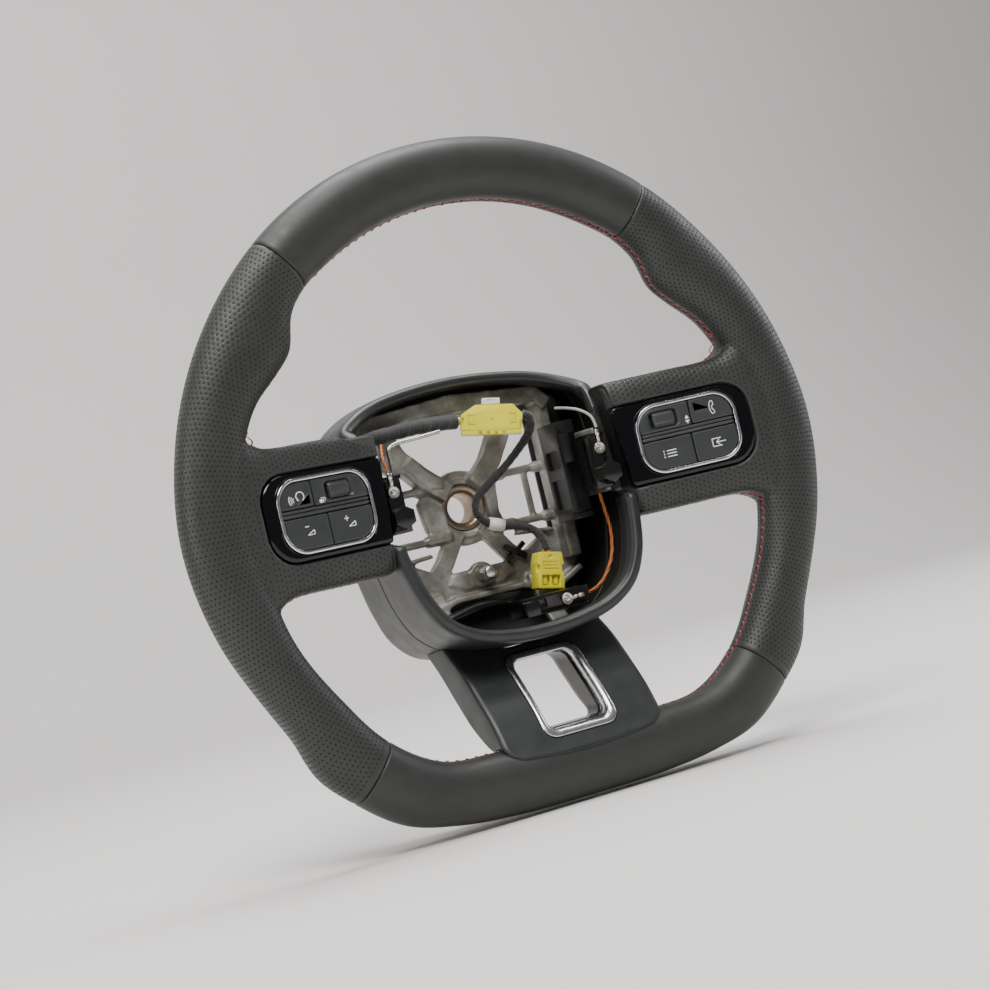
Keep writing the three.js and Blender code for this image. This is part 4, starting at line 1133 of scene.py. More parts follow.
def cover_outline(inset):
    half, foot, top = LOWER_HALF_WIDTH - inset, -142.5 + inset, -62.0
    radius = max(10 - inset, 1)
    corners = [(-half, foot, radius), (half, foot, radius), (half, top, 1), (-half, top, 1)]
    outline = even_outline(rounded_outline(corners, 14), 360)
    bow = 3.0 * (outline[:, 0] / LOWER_HALF_WIDTH) ** 2 * np.clip((-110 - outline[:, 1]) / 30, 0, 1)
    return outline + np.stack([np.zeros(360), bow], axis=1)


def make_lower_spoke():
    # Outer skin: rounded front edge, then the side walls back to the rear edge.
    outer = [(2.6, 0.0), (1.5, 0.22), (0.75, 0.7), (0.2, 1.6), (0.0, 2.8)]
    rings = [follow_face(cover_outline(inset), depth) for inset, depth in outer]
    side = cover_outline(0.0)
    front, rear = face_y(side[:, 1]) + 2.8, back_y(side[:, 1])
    rear = np.maximum(rear, front + 1.0)
    rings += [lift(side, front + (rear - front) * t) for t in (0.3, 0.65, 1.0)]
    inner = cover_outline(2.4)
    front_inner = face_y(inner[:, 1]) + 2.6
    rear_inner = np.maximum(back_y(inner[:, 1]) - 0.4, front_inner + 0.6)
    rings += [lift(inner, front_inner + (rear_inner - front_inner) * t) for t in (1.0, 0.5, 0.05)]

    # Face plate: a grid warped from the cover's edge in to the frame's hole, in front and behind.
    def plate(depth, outer_inset):
        start = even_outline(cover_outline(outer_inset), 360)
        hole = box_outline(FRAME_HALF + 0.35, FRAME_LOW - 0.35, FRAME_HIGH + 0.35, 7.6, 14)
        hole = even_outline(hole, 360)
        centre = np.array([0, (FRAME_LOW + FRAME_HIGH) / 2])
        matched = around(hole, centre, np.arctan2(*(start - centre).T[::-1]))
        return [follow_face(start + (matched - start) * t, depth) for t in np.linspace(0, 1, 16)]

    front_rings = plate(0.0, 2.6)
    lip = front_rings[-1]
    rolled = [lip + [0, 0.25, 0], lip + [0, 2.4, 0]]
    back_rings = plate(2.6, 2.4)[::-1]
    rings = rings[::-1] + front_rings + rolled + back_rings
    cover = build("lower_spoke_cover_shell", *rings_mesh(rings, closed=True), "satin_plastic")
    rim_tool = build("rim_tool", *rim_loop_mesh(-0.35), "leather")
    hub_tool = build("hub_tool", *rings_mesh([lift(offset_outline(HUB_OUTLINES[k], -0.35), HUB_DEPTHS[k])
                                              for k in range(4)]), "leather")
    cut(cover, hub_tool, tolerant=True)
    cut(cover, rim_tool, tolerant=True)
    smooth_by_angle(cover, 40)
    finish_piece(cover, "satin_plastic", "lower_spoke_cover")

    # Bright frame: a flat band with rounded edges that follows the face.
    ring = []
    for inset, depth in ((0.0, 5.0), (0.0, 0.4), (0.15, -0.35), (0.6, -0.8), (1.3, -0.9), (2.6, -0.75),
                         (3.5, -0.2), (4.0, 0.8), (4.3, 2.5), (4.3, 6.5), (2.2, 6.6)):
        radius = max(7.0 - inset * 0.5, 4.5)
        ring.append(follow_face(frame_outline(inset, radius), depth))
    finish_piece(build("lower_spoke_frame", *rings_mesh(ring, closed=True), "chrome_satin"), "chrome_trim",
                 "lower_spoke_trim_ring")

    # Tunnel through the spoke behind the frame.
    tunnel = []
    wide, narrow = frame_outline(0.8, 6.8), frame_outline(4.6, 4.8)
    near, far = face_y(wide[:, 1]) + 7.4, back_y(wide[:, 1]) - 0.4
    far = np.maximum(far, near + 1)
    for t in np.linspace(0, 1, 8):
        tunnel.append(lift(wide, near + (far - near) * t))
    near, far = face_y(narrow[:, 1]) + 7.4, back_y(narrow[:, 1]) - 0.4
    far = np.maximum(far, near + 1)
    for t in np.linspace(1, 0, 8):
        tunnel.append(lift(narrow, near + (far - near) * t))
    back = build("lower_spoke_tunnel", *rings_mesh(tunnel, closed=True), "gloss_trim")
    finish_piece(back, "black_plastic")


def rim_loop_mesh(inset):
    angles = np.arange(0, 360, 1.5)
    return rings_mesh([rim_point(angle, even_phis(angle, 40), inset) for angle in angles], closed=True)


# ------------------------------------------------------------------ switch pads
def pad_build(side, name, points, faces, paint):
    return build(name, from_pad(side, points), faces, paint)


def even_outline(outline, count=200):
    return resampled(np.concatenate([outline, outline[:1]]), count, closed=True)


def make_pad_bezel(name, side):
    outer = even_outline(bezel_outline(side), 260)
    hole = even_outline(box_outline(28.75, -19.25, 19.25, 12.2, 16), 260)
    matched = around(hole, np.zeros(2), np.arctan2(*outer.T[::-1]))
    rings = [lift(outer, 12.0), lift(outer, 6.0), lift(offset_outline(outer, 0.05), 3.2),
             lift(offset_outline(outer, 0.3), 2.1), lift(offset_outline(outer, 0.9), 1.25),
             lift(offset_outline(outer, 1.7), 0.95)]
    start = offset_outline(outer, 1.7)
    for t in (0.2, 0.45, 0.7, 0.9, 1.0):
        dip = 0.95 - 0.1 * math.sin(math.pi * t)
        rings.append(lift(start + (matched - start) * t, dip))
    rings += [lift(matched, 1.4), lift(matched, 4.2)]
    rings += [lift(offset_outline(outer, 2.0), 4.3), lift(offset_outline(outer, 2.0), 12.0)]
    finish_piece(pad_build(side, f"pad_bezel_{name}", *rings_mesh(rings, closed=True), "gloss_black"),
                 "gloss_black", f"switch_bezel_{name}")
    # Half width, half height, corner radius and depth of each step round the band.
    band = [(28.5, 19.0, 13.0, 4.0), (28.5, 19.0, 13.0, 0.4), (28.35, 18.85, 12.9, 0.12),
            (28.1, 18.6, 12.6, 0.02), (27.1, 17.6, 11.6, 0.0), (26.85, 17.35, 11.3, 0.1),
            (26.7, 17.2, 11.1, 0.4), (26.7, 17.2, 11.1, 4.0)]
    rings = [lift(even_outline(box_outline(w, -h, h, r, 16)), y) for w, h, r, y in band]
    finish_piece(pad_build(side, f"pad_ring_{name}", *rings_mesh(rings, closed=True), "chrome_trim"),
                 "chrome_trim", f"switch_ring_{name}")


def cell_outline(x_low, x_high, z_low, z_high):
    """The part of the rounded key field inside a cell, as a polyline with eased corners."""
    field = box_outline(26.4, -16.9, 16.9, 10.7, 24)
    field = even_outline(field, 900)
    clipped = np.stack([np.clip(field[:, 0], x_low, x_high), np.clip(field[:, 1], z_low, z_high)], axis=1)
    keep = distance_to(field, clipped) < 0.05
    points = clipped[keep]
    moved = np.linalg.norm(np.roll(points, -1, axis=0) - points, axis=1) > 1e-4
    return eased(points[moved])


def eased(points, count=150, rounds=3):
    """Evenly spaced copy of a closed polyline with its corners slightly rounded."""
    outline = even_outline(points, count)
    for _ in range(rounds):
        outline = 0.5 * outline + 0.25 * (np.roll(outline, 1, axis=0) + np.roll(outline, -1, axis=0))
    return outline


def key_mesh(outline, crown=0.25, front=KEY_FRONT, back=KEY_BACK):
    """A key with a softly crowned face and rounded edges."""
    rings = [lift(offset_outline(outline, 0.05), back), lift(offset_outline(outline, 0.05), front + 0.9),
             lift(offset_outline(outline, 0.12), front + 0.5),
             lift(offset_outline(outline, 0.4), front + 0.2),
             lift(offset_outline(outline, 0.9), front + 0.08)]
    centre = outline.mean(axis=0)
    rim = offset_outline(outline, 0.9)
    for t in (0.03, 0.08, 0.15):
        shrunk = rim + (centre - rim) * t
        rings.append(lift(shrunk, front + 0.08 - crown * 0.3 * math.sin(math.pi / 2 * t)))
    return rings_mesh(rings)


def make_key(side, node, x, z):
    outline = cell_outline(x[0], x[1], z[0], z[1])
    cap = pad_build(side, f"{node}_cap", *key_mesh(outline), "key_plastic")
    finish_piece(cap, "key_plastic", node, body=node)


def stroke(points, width, side_y=0.02, closed=False):
    """A printed line on the key's face: a thin ribbon."""
    points = np.asarray(points, float)
    count = max(8, int(np.linalg.norm(np.diff(points, axis=0), axis=1).sum() / 0.25))
    path = resampled(points, count) if not closed else resampled(np.concatenate([points, points[:1]]), count)
    tangent = np.gradient(path, axis=0)
    tangent /= np.linalg.norm(tangent, axis=1)[:, None]
    normal = np.stack([-tangent[:, 1], tangent[:, 0]], axis=1) * width / 2
    rings = []
    for p, n in zip(path, normal):
        a, b = p + n, p - n
        rings.append([[a[0], side_y, a[1]], [b[0], side_y, b[1]], [b[0], side_y + 0.3, b[1]],
                      [a[0], side_y + 0.3, a[1]]])
    return rings_mesh(rings)


def patch(points, side_y=0.02):
    """A printed filled shape."""
    outline = np.asarray(points, float)
    return rings_mesh([lift(outline, side_y), lift(outline, side_y + 0.3)])


def arc(cx, cz, radius, start, end, count=14):
    angles = np.radians(np.linspace(start, end, count))
    return np.stack([cx + radius * np.cos(angles), cz + radius * np.sin(angles)], axis=1)


def icon(side, name, body, parts, y=KEY_FRONT - 0.12):
    points, faces = joined_parts(parts)
    points = points + [0, y, 0]
    finish_piece(pad_build(side, name, points, faces, "icon_white"), "white_plastic", body=body)


def wedge(cx, cz):
    """A small triangle outline that stands for sound volume."""
    return stroke([(cx - 2.1, cz - 0.9), (cx + 2.0, cz - 0.9), (cx + 2.0, cz + 1.3)], 0.42, closed=True)


def make_icons():
    left, right = SIDES["left"], SIDES["right"]
    # Talking head with sound waves.
    head = [stroke(arc(-14.2, 9.6, 2.3, 150, -60), 0.5), stroke([(-16.2, 10.8), (-16.9, 9.6), (-16.1, 9.2),
            (-16.2, 8.0), (-15.2, 7.8)], 0.5), stroke(arc(-17.3, 8.2, 1.4, 130, 230), 0.4),
            stroke(arc(-17.5, 8.2, 2.4, 135, 225), 0.4), stroke(arc(-17.7, 8.2, 3.4, 140, 220), 0.4)]
    icon(left, "voice_icon", "voice_key", head)
    icon(left, "volume_down_icon", "volume_down_key",
         [stroke([(-15.2, -5.6), (-13.0, -5.6)], 0.5), wedge(-12.4, -8.9)])
    icon(left, "volume_up_icon", "volume_up_key",
         [stroke([(8.6, -5.4), (11.2, -5.4)], 0.5),
           stroke([(9.9, -6.7), (9.9, -4.1)], 0.5), wedge(12.6, -8.7)])
    cards = [patch([(-3.4, 4.6), (-0.9, 4.6), (-0.9, 6.2), (-3.4, 6.2)]),
             stroke([(-2.6, 6.9), (0.0, 6.9), (0.0, 5.3)], 0.35)]
    icon(left, "roller_left_icon", "wheel", cards)
    handset = [stroke([(12.3, 12.6), (11.5, 13.4), (10.4, 12.3), (9.9, 10.0), (10.2, 7.6), (11.0, 6.2),
                       (12.3, 6.5), (12.2, 8.1), (11.4, 8.7), (11.3, 10.3), (12.3, 11.0)], 0.4, closed=True)]
    icon(right, "phone_icon", "phone_key", [(p + [4.2, 0, 0.6], f) for p, f in handset])
    lines = [stroke([(-14.5, z), (-9.2, z)], 0.55) for z in (-7.3, -8.9, -10.5)]
    dots = [patch(arc(-16.2, z, 0.4, 0, 330, 8)) for z in (-7.3, -8.9, -10.5)]
    icon(right, "menu_icon", "menu_key", lines + dots)
    source = [stroke([(16.5, -6.6), (11.4, -6.6), (11.4, -10.8), (16.5, -10.8)], 0.5),
              stroke([(18.9, -8.7), (13.6, -8.7)], 0.5),
               stroke([(15.3, -7.3), (13.5, -8.7), (15.3, -10.1)], 0.5)]
    icon(right, "source_icon", "source_key", source)
    arrows = [patch([(-0.7, 7.3), (1.9, 7.3), (0.6, 9.3)][::-1]),
              patch([(-0.7, 6.5), (1.9, 6.5), (0.6, 4.5)])]
    icon(right, "roller_right_icon", "wheel", arrows)


def make_roller_panel(name, side):
    split = UPPER_SPLIT[name]
    x_low, x_high = (split + 0.2, 40) if side < 0 else (-40, split - 0.2)
    upper = cell_outline(x_low, x_high, 3.75, 40)
    parts = []
    centre = np.array([ROLLER_X[name], ROLLER_Z])
    angle = np.arctan2(*(upper - centre).T[::-1])
    rows = [lift(offset_outline(upper, 0.05), KEY_BACK), lift(offset_outline(upper, 0.05), KEY_FRONT + 0.9),
            lift(offset_outline(upper, 0.12), KEY_FRONT + 0.5),
            lift(offset_outline(upper, 0.4), KEY_FRONT + 0.2),
            lift(offset_outline(upper, 0.9), KEY_FRONT + 0.05)]
    rim = offset_outline(upper, 0.9)
    for half_x, half_z, radius, y in ((8.9, 5.0, 2.6, KEY_FRONT + 0.0), (8.5, 4.7, 2.4, KEY_FRONT + 0.15),
                                      (7.2, 4.1, 1.6, KEY_FRONT + 1.9), (6.7, 3.9, 1.3, KEY_FRONT + 2.2),
                                      (6.6, 3.85, 1.2, KEY_FRONT + 3.4), (6.6, 3.85, 1.2, KEY_BACK)):
        hole = even_outline(box_outline(half_x, -half_z, half_z, radius, 16), 240) + centre
        angle_hole = np.arctan2(*(hole - centre).T[::-1])
        order = np.argsort(angle_hole)
        matched = np.stack([np.interp(angle, angle_hole[order], hole[order, k], period=2 * math.pi)
                            for k in range(2)], axis=1)
        inside = distance_to(rim, matched) < -0.2
        matched = np.where(inside[:, None], matched, rim + (matched - rim) * 0.0)
        rows.append(lift(matched, y))
    parts.append(rings_mesh(rows, closed=True))
    for z_low, z_high in ((1.75, 3.62), (-0.4, 1.6)):
        parts.append(key_mesh(cell_outline(-40, 40, z_low, z_high), 0.1, KEY_FRONT + 0.25))
    points, faces = joined_parts(parts)
    finish_piece(pad_build(side, f"roller_surround_{name}", points, faces, "key_plastic"),
                 "key_plastic", f"roller_panel_{name}")
    make_roller(name, side)


def make_roller(name, side):
    """A barrel with three raised ribs every quarter turn, on its own axle."""
    x = ROLLER_X[name]
    half = ROLLER_WIDTH / 2
    count = 360
    angles = np.linspace(0, 2 * math.pi, count, endpoint=False)
    ribs = np.zeros(count)
    for k in range(8):
        turn = np.angle(np.exp(1j * (angles - (k + 0.5) * math.pi / 4)))
        ribs += np.exp(-(turn / 0.075) ** 4) * 0.65
    rings = []
    for along, shrink in ((-half, 1.2), (-half + 0.15, 0.7), (-half + 0.5, 0.3), (-half + 1.1, 0.05),
                          (-half + 1.6, 0.0), (half - 1.6, 0.0), (half - 1.1, 0.05), (half - 0.5, 0.3),
                          (half - 0.15, 0.7), (half, 1.2)):
        ease = 1.0 if shrink < 0.1 else 0.2
        radius = ROLLER_RADIUS - 0.65 - shrink + ribs * ease
        rings.append(np.stack([np.full(count, x + along), ROLLER_DEPTH + radius * np.sin(angles),
                               ROLLER_Z + radius * np.cos(angles)], axis=1))
    barrel = rings_mesh(rings)
    axle = turned([(1.0, -half - 2.0), (1.2, -half - 1.7), (1.2, half + 1.7), (1.0, half + 2.0)],
                  (x, ROLLER_DEPTH, ROLLER_Z), axis="x", sides=24)
    points, faces = joined_parts([barrel, axle])
    finish_piece(pad_build(side, f"roller_{name}_barrel", points, faces, "key_plastic"), "key_plastic",
                 f"roller_{name}", body=f"roller_{name}")


def make_pads():
    far = 40
    for name, side in SIDES.items():
        make_pad_bezel(name, side)
        make_roller_panel(name, side)
    up, low_x = UPPER_SPLIT, LOWER_SPLIT
    make_key(-1, "voice_key", (-far, up["left"] - 0.2), (3.9, far))
    make_key(-1, "volume_down_key", (-far, low_x["left"] - 0.2), (-far, -0.8))
    make_key(-1, "volume_up_key", (low_x["left"] + 0.2, far), (-far, -0.8))
    make_key(1, "phone_key", (up["right"] + 0.2, far), (3.9, far))
    make_key(1, "menu_key", (-far, low_x["right"] - 0.2), (-far, -0.8))
    make_key(1, "source_key", (low_x["right"] + 0.2, far), (-far, -0.8))
    make_icons()


# ------------------------------------------------------------------ casting
def cad_copy(name, node, paint):
    """A free copy of a CAD node's mesh, to be worked on."""
    source = frame["nodes"][node]
    mesh = source.data.copy()
    mesh.transform(source.matrix_world)
    return new_object(name, mesh, paint)


def slab(points, y_front, y_back):
    outline = np.asarray(points, float)
    return rings_mesh([lift(outline, y_front), lift(outline, y_back)])


def bar_between(start, end, radius, sides=16):
    return tube_mesh(np.linspace(start, end, 12), radius, sides)


def washer(centre, inner, outer, front, back, sides=64):
    x, z = centre
    angles = np.linspace(0, 2 * math.pi, sides, endpoint=False)
    circle = np.stack([np.cos(angles), np.sin(angles)], axis=1)
    profile = ((outer, front), (outer, back), (inner, back), (inner, front))
    rings = [lift(circle * r + [x, z], y) for r, y in profile]
    return rings_mesh(rings, closed=True)


def casting_details():
    """Cast pads, collars and ribs that stand proud of the plain frame."""
    parts = [
        washer((0, -6), 13.2, 16.4, 73.6, 78),
        washer((0, -6), 17.5, 21.0, 75.4, 80),
        slab([(-25, -15), (-22.5, -19), (-12, -21), (-12, 9), (-19, 8.5), (-27, 1)], 71.5, 77),
        slab([(13, -19), (22, -19.5), (20, -12), (21.5, 3), (25, 9), (13, 9)], 71.5, 77),
        slab([(-33, 22), (-27, 27), (-16.5, 14.5), (-12, 12), (-13, 6), (-21, 8)], 64.5, 72),
        slab([(-47, 24), (-43, 31), (-33, 27.5), (-30, 21), (-38, 17)], 66, 73),
        slab([(-50, 38), (-24, 43.2), (22, 43.2), (22, 45.4), (-24, 45.6), (-51, 40.5)], 56.5, 64),
        slab([(-20, -46.5), (-17, -41), (17, -41), (20, -46.5), (12, -50.5), (-12, -50.5)], 69.6, 73),
        washer((0, -44), 4.1, 7.2, 68.8, 74),
        slab([(26, -25), (47, -27), (48, -29.5), (25, -27.5)], 68, 73),
        slab([(-48, -28.5), (-27, -27), (-26, -29.5), (-49, -31)], 68, 73),
    ]
    for z in ROD_ZS:
        for s in (-1, 1):
            parts.append(bar_between((s * 12, 72.6, z), (s * 27, 72.2, z), 3.4))
            parts.append(bar_between((s * 45, 71.6, z), (s * 53, 71.0, z), 3.3))
    return parts


def make_casting():
    casting = cad_copy("armature_casting", "armature", "casting")
    points, faces = joined_parts(casting_details())
    extra = build("casting_extra", points, faces, "casting")
    with_extra = bmesh.new()
    with_extra.from_mesh(casting.data)
    with_extra.from_mesh(extra.data)
    with_extra.to_mesh(casting.data)
    with_extra.free()
    bpy.data.objects.remove(extra)
    voxel = 0.85
    modified(casting, ("REMESH", {"mode": "VOXEL", "voxel_size": voxel * MM, "use_smooth_shade": True}),
             ("SMOOTH", {"factor": 0.5, "iterations": 5}))
    bore = build("bore", *turned([(INSERT_RADIUS + 0.15, 60), (INSERT_RADIUS + 0.15, 100)], (0, 0, -6), sides=96),
                 "steel")
    cut(casting, bore)
    casting.data.materials.clear()
    casting.data.materials.append(PAINTS["casting"])
    smooth_by_angle(casting, 50)
    finish_piece(casting, "casting", "armature")

    teeth = 44
    count = teeth * 6
    angles = np.linspace(0, 2 * math.pi, count, endpoint=False)
    wave = np.clip(1.6 * np.cos(angles * teeth), -1, 1)
    inner = 8.6 + 0.3 * wave
    circle = np.stack([np.cos(angles), np.sin(angles)], axis=1)
    centre = np.array([0, -6])
    profile = [(np.full(count, 12.6), 95.0), (np.full(count, 12.6), 74.9), (np.full(count, 12.3), 74.5),
               (np.full(count, 10.4), 74.4), (np.full(count, 9.6), 75.0), (inner, 76.0), (inner, 94.0),
               (np.full(count, 9.4), 95.0)]
    rings = [lift(circle * radius[:, None] + centre, y) for radius, y in profile]
    insert = build("spline_sleeve", *rings_mesh(rings, closed=True), "spline_steel")
    finish_piece(smooth_by_angle(insert, 40), "steel", "spline_insert")
    stud = turned([(2.6, 77), (2.9, 76.5), (2.9, 70.6), (3.8, 70.4), (3.8, 58.4), (3.5, 57.5), (2.8, 57.0)],
                  (0, 0, -44), sides=48)
    finish_piece(smooth_by_angle(build("locating_stud_pin", *stud, "steel"), 40), "steel", "locating_stud")


# ------------------------------------------------------------------ wiring and contacts
CONTACT_X = 61.0
LEAD_ROUTE = [(31.5, 39, 35.2), (34, 38.7, 34), (35.6, 40.5, 30.5), (35.2, 44.3, 25.5), (31.6, 49, 20),
              (20.4, 54, 9.9), (10.1, 58, 2.6), (2.8, 60, -3.4), (0.7, 60, -10.3), (5.5, 60, -17.1),
              (15.3, 59.5, -20.8), (29.1, 57, -26), (32.8, 54, -33), (32.9, 52.5, -39)]
SLEEVE_ROUTE = [(-59.5, 46, 38.5), (-49.7, 45.5, 39), (-31, 46.5, 40.2), (-14, 49, 40), (-3.4, 51, 39.4)]
SPRING_ROUTE = [(-50.5, 38, 6), (-50.5, 38, 26), (-50, 38, 31), (-46, 38, 33), (-32, 38, 34), (-19, 38, 35)]
LEFT_WIRE = [(-62, 16.5, 18.6), (-62.2, 18, 24), (-58.5, 26, 30.5), (-55, 34, 33.6), (-53, 41, 33)]
RIGHT_WIRE = [(61.6, 16.5, 18.6), (61.2, 19, 25), (58.5, 25, 30), (55.5, 33, 33), (53, 42, 35)]
LOOM_ROUTE = [(61, 30, -15.6), (62.5, 31, -26), (63.6, 32, -36), (60, 31, -50), (52, 30, -61),
              (45, 29.6, -65.4), (39.5, 29.5, -66.8)]


def taped(route, radius, count, pitch, seed):
    """A cloth-taped bundle: overlapping wraps with small bumps."""
    path = smooth_path(np.array(route, float), count)
    length = np.linalg.norm(np.diff(path, axis=0), axis=1).sum()
    along = np.linspace(0, length, count)
    lumps = np.interp(along, np.linspace(0, length, 14), np.random.default_rng(seed).uniform(-0.25, 0.25, 14))
    sides = 24
    tangents = np.gradient(path, axis=0)
    tangents /= np.linalg.norm(tangents, axis=1)[:, None]
    normal = np.cross(tangents[0], [0.31, 0.17, 0.93])
    angles = np.linspace(0, 2 * math.pi, sides, endpoint=False)
    rings = []
    for i, (point, tangent) in enumerate(zip(path, tangents)):
        normal = normal - tangent * normal.dot(tangent)
        normal /= np.linalg.norm(normal)
        other = np.cross(tangent, normal)
        wrap = ((along[i] / pitch + angles / (2 * math.pi)) % 1.0)
        r = radius + lumps[i] + 0.22 * wrap - 0.1 + 0.06 * np.sin(3 * angles + along[i])
        rings.append(point + (r * np.cos(angles))[:, None] * normal + (r * np.sin(angles))[:, None] * other)
    return rings_mesh(rings)


def wire(name, route, radius, paint, slot, node, count=120, strands=1):
    path = smooth_path(np.array(route, float), count)
    parts = []
    if strands == 1:
        parts.append(tube_mesh(path, radius, 14))
    else:
        tangent = np.gradient(path, axis=0)
        tangent /= np.linalg.norm(tangent, axis=1)[:, None]
        a = np.cross(tangent, [0, 1, 0.2])
        a /= np.linalg.norm(a, axis=1)[:, None]
        b = np.cross(tangent, a)
        turns = np.linspace(0, 2 * math.pi * 3.5, count)
        for k in range(strands):
            phase = turns + 2 * math.pi * k / strands
            parts.append(tube_mesh(path + radius * 0.5 * (np.cos(phase)[:, None] * a + np.sin(phase)[:, None] * b),
                                   radius * 0.5, 10))
    points, faces = joined_parts(parts)
    return finish_piece(build(name, points, faces, paint), slot, node)


def eyelet_mesh(at, tilt):
    """A crimped ring terminal with its rivet; x to the right and z up before tilting."""
    sides = 40
    angles = np.linspace(0, 2 * math.pi, sides, endpoint=False)
    circle = np.stack([np.cos(angles), np.sin(angles)], axis=1)
    parts = [rings_mesh([lift(circle * r, y) for r, y in ((3.2, -0.1), (3.2, -0.75), (3.0, -1.0), (2.2, -1.0),
                                                           (1.7, -0.75), (1.6, -0.1))], closed=True)]
    parts.append(rings_mesh([lift(circle * r, y) for r, y in ((1.5, -0.1), (1.5, -1.2), (1.3, -1.55), (0.9, -1.6),
                                                              (0.7, -1.2), (0.5, -1.1))]))
    parts.append(rings_mesh([np.array([[-w, y, z], [w, y, z], [w, -0.1, z], [-w, -0.1, z]], float)
                             for z, w, y in ((2.6, 1.0, -0.7), (3.6, 0.8, -0.7), (4.4, 0.8, -0.8))]))
    for start, end, radius in ((4.4, 6.4, 1.15), (7.0, 10.0, 1.4)):
        barrel = [(np.stack([np.array([radius * g * c, -0.95 + 0.85 * g * s, z]) for c, s in circle]))
                  for z, g in ((start, 0.85), (start + 0.25, 1.0), ((start + end) / 2, 0.94), (end - 0.25, 1.0),
                               (end, 0.85))]
        parts.append(rings_mesh(barrel))
    parts.append(rings_mesh([np.stack([np.array([0.7 * c, -0.9 + 0.5 * s, z]) for c, s in circle])
                             for z in (6.2, 7.2)]))
    points, faces = joined_parts(parts)
    c, s = math.cos(tilt), math.sin(tilt)
    turned_points = np.stack([points[:, 0] * c + points[:, 2] * s, points[:, 1],
                              -points[:, 0] * s + points[:, 2] * c], axis=1)
    return turned_points + np.asarray(at, float), faces


def block(x, y, z):
    outline = np.array([(x[0], z[0]), (x[1], z[0]), (x[1], z[1]), (x[0], z[1])], float)
    return rings_mesh([lift(outline, y[0]), lift(outline, y[1])])


def tilted(points, centre, angle, turn=0.0):
    """Points tilted in the driver's view, then turned towards the driver's left and put in place."""
    c, s = math.cos(angle), math.sin(angle)
    x, y, z = points[:, 0] * c + points[:, 2] * s, points[:, 1], -points[:, 0] * s + points[:, 2] * c
    c, s = math.cos(-turn), math.sin(-turn)
    return np.stack([x * c - y * s, x * s + y * c, z], axis=1) + np.asarray(centre, float)


def carved(name, base, cutters, paint, bevel, place=(0, 0, 0), angle=0.0, turn=0.0):
    """A solid with shapes cut out of it and its edges broken."""
    obj = build(name, tilted(base[0], place, angle, turn), base[1], paint, smooth=False)
    for cutter in cutters:
        tool = build("tool", tilted(cutter[0], place, angle, turn), cutter[1], paint, smooth=False)
        cut(obj, tool)
    obj.data.materials.clear()
    obj.data.materials.append(PAINTS[paint])
    return bevelled(obj, bevel, 2)


def bracket(x, facing, z_low, z_high, width):
    """A thin U-shaped latch outline cut into the connector's face."""
    inner = x + facing * width
    flat = sorted((x + facing * 0.07, inner))
    return [block(sorted((x, x + facing * 0.55)), (-6, -4.3), (z_low, z_high)),
            block(flat, (-6.1, -4.26), (z_high - 0.46, z_high + 0.04)),
            block(flat, (-6.2, -4.22), (z_low - 0.04, z_low + 0.46))]


UPPER_CONNECTOR = (15.2, 45, 36)
LOWER_CONNECTOR = (30.3, 52, -50.5)
UPPER_TILT = math.radians(11)
UPPER_TURN = math.radians(20)


def make_upper_connector():
    outline = rounded_outline([(-16.5, -8, 0.8), (16.5, -8, 0.8), (16.5, 3.0, 1.2), (11.6, 8, 1.2),
                               (-8.8, 8, 1.2), (-16.5, 3.0, 1.2)], 5)
    body = rings_mesh([lift(outline, -5), lift(outline, 5)])
    cutters = [block((x - 0.9, x + 0.9), (-7, -3.2), (-9, -6.2)) for x in (-6.4, -2.2, 2.0, 6.2)]
    cutters += bracket(-13.0, 1, -2.8, 2.6, 4.2) + bracket(13.6, -1, -2.4, 3.0, 4.2)
    cutters += [block((-18, 18), (-7, -4.6), (-5.8, -5.4)), block((-0.8, 0.8), (-7, -4.4), (-1.0, 0.6)),
                block((-18, -15.2), (-7, -3.2), (-4.0, 1.4)), block((15.0, 18), (-7, -3.2), (-5.5, -0.5))]
    shell = carved("upper_connector_shell", body, cutters, "connector_yellow", 0.3, UPPER_CONNECTOR,
                   UPPER_TILT, UPPER_TURN)
    finish_piece(shell, "connector_yellow", "upper_connector")
    lock = carved("connector_lock_tab", block((-4.75, 4.75), (-4.5, 4.4), (8.3, 11.6)),
                  [block((-2.4, 2.4), (-6, -3.9), (9.2, 10.8))], "white_plastic", 0.4, UPPER_CONNECTOR,
                  UPPER_TILT, UPPER_TURN)
    finish_piece(lock, "white_plastic", "connector_lock")


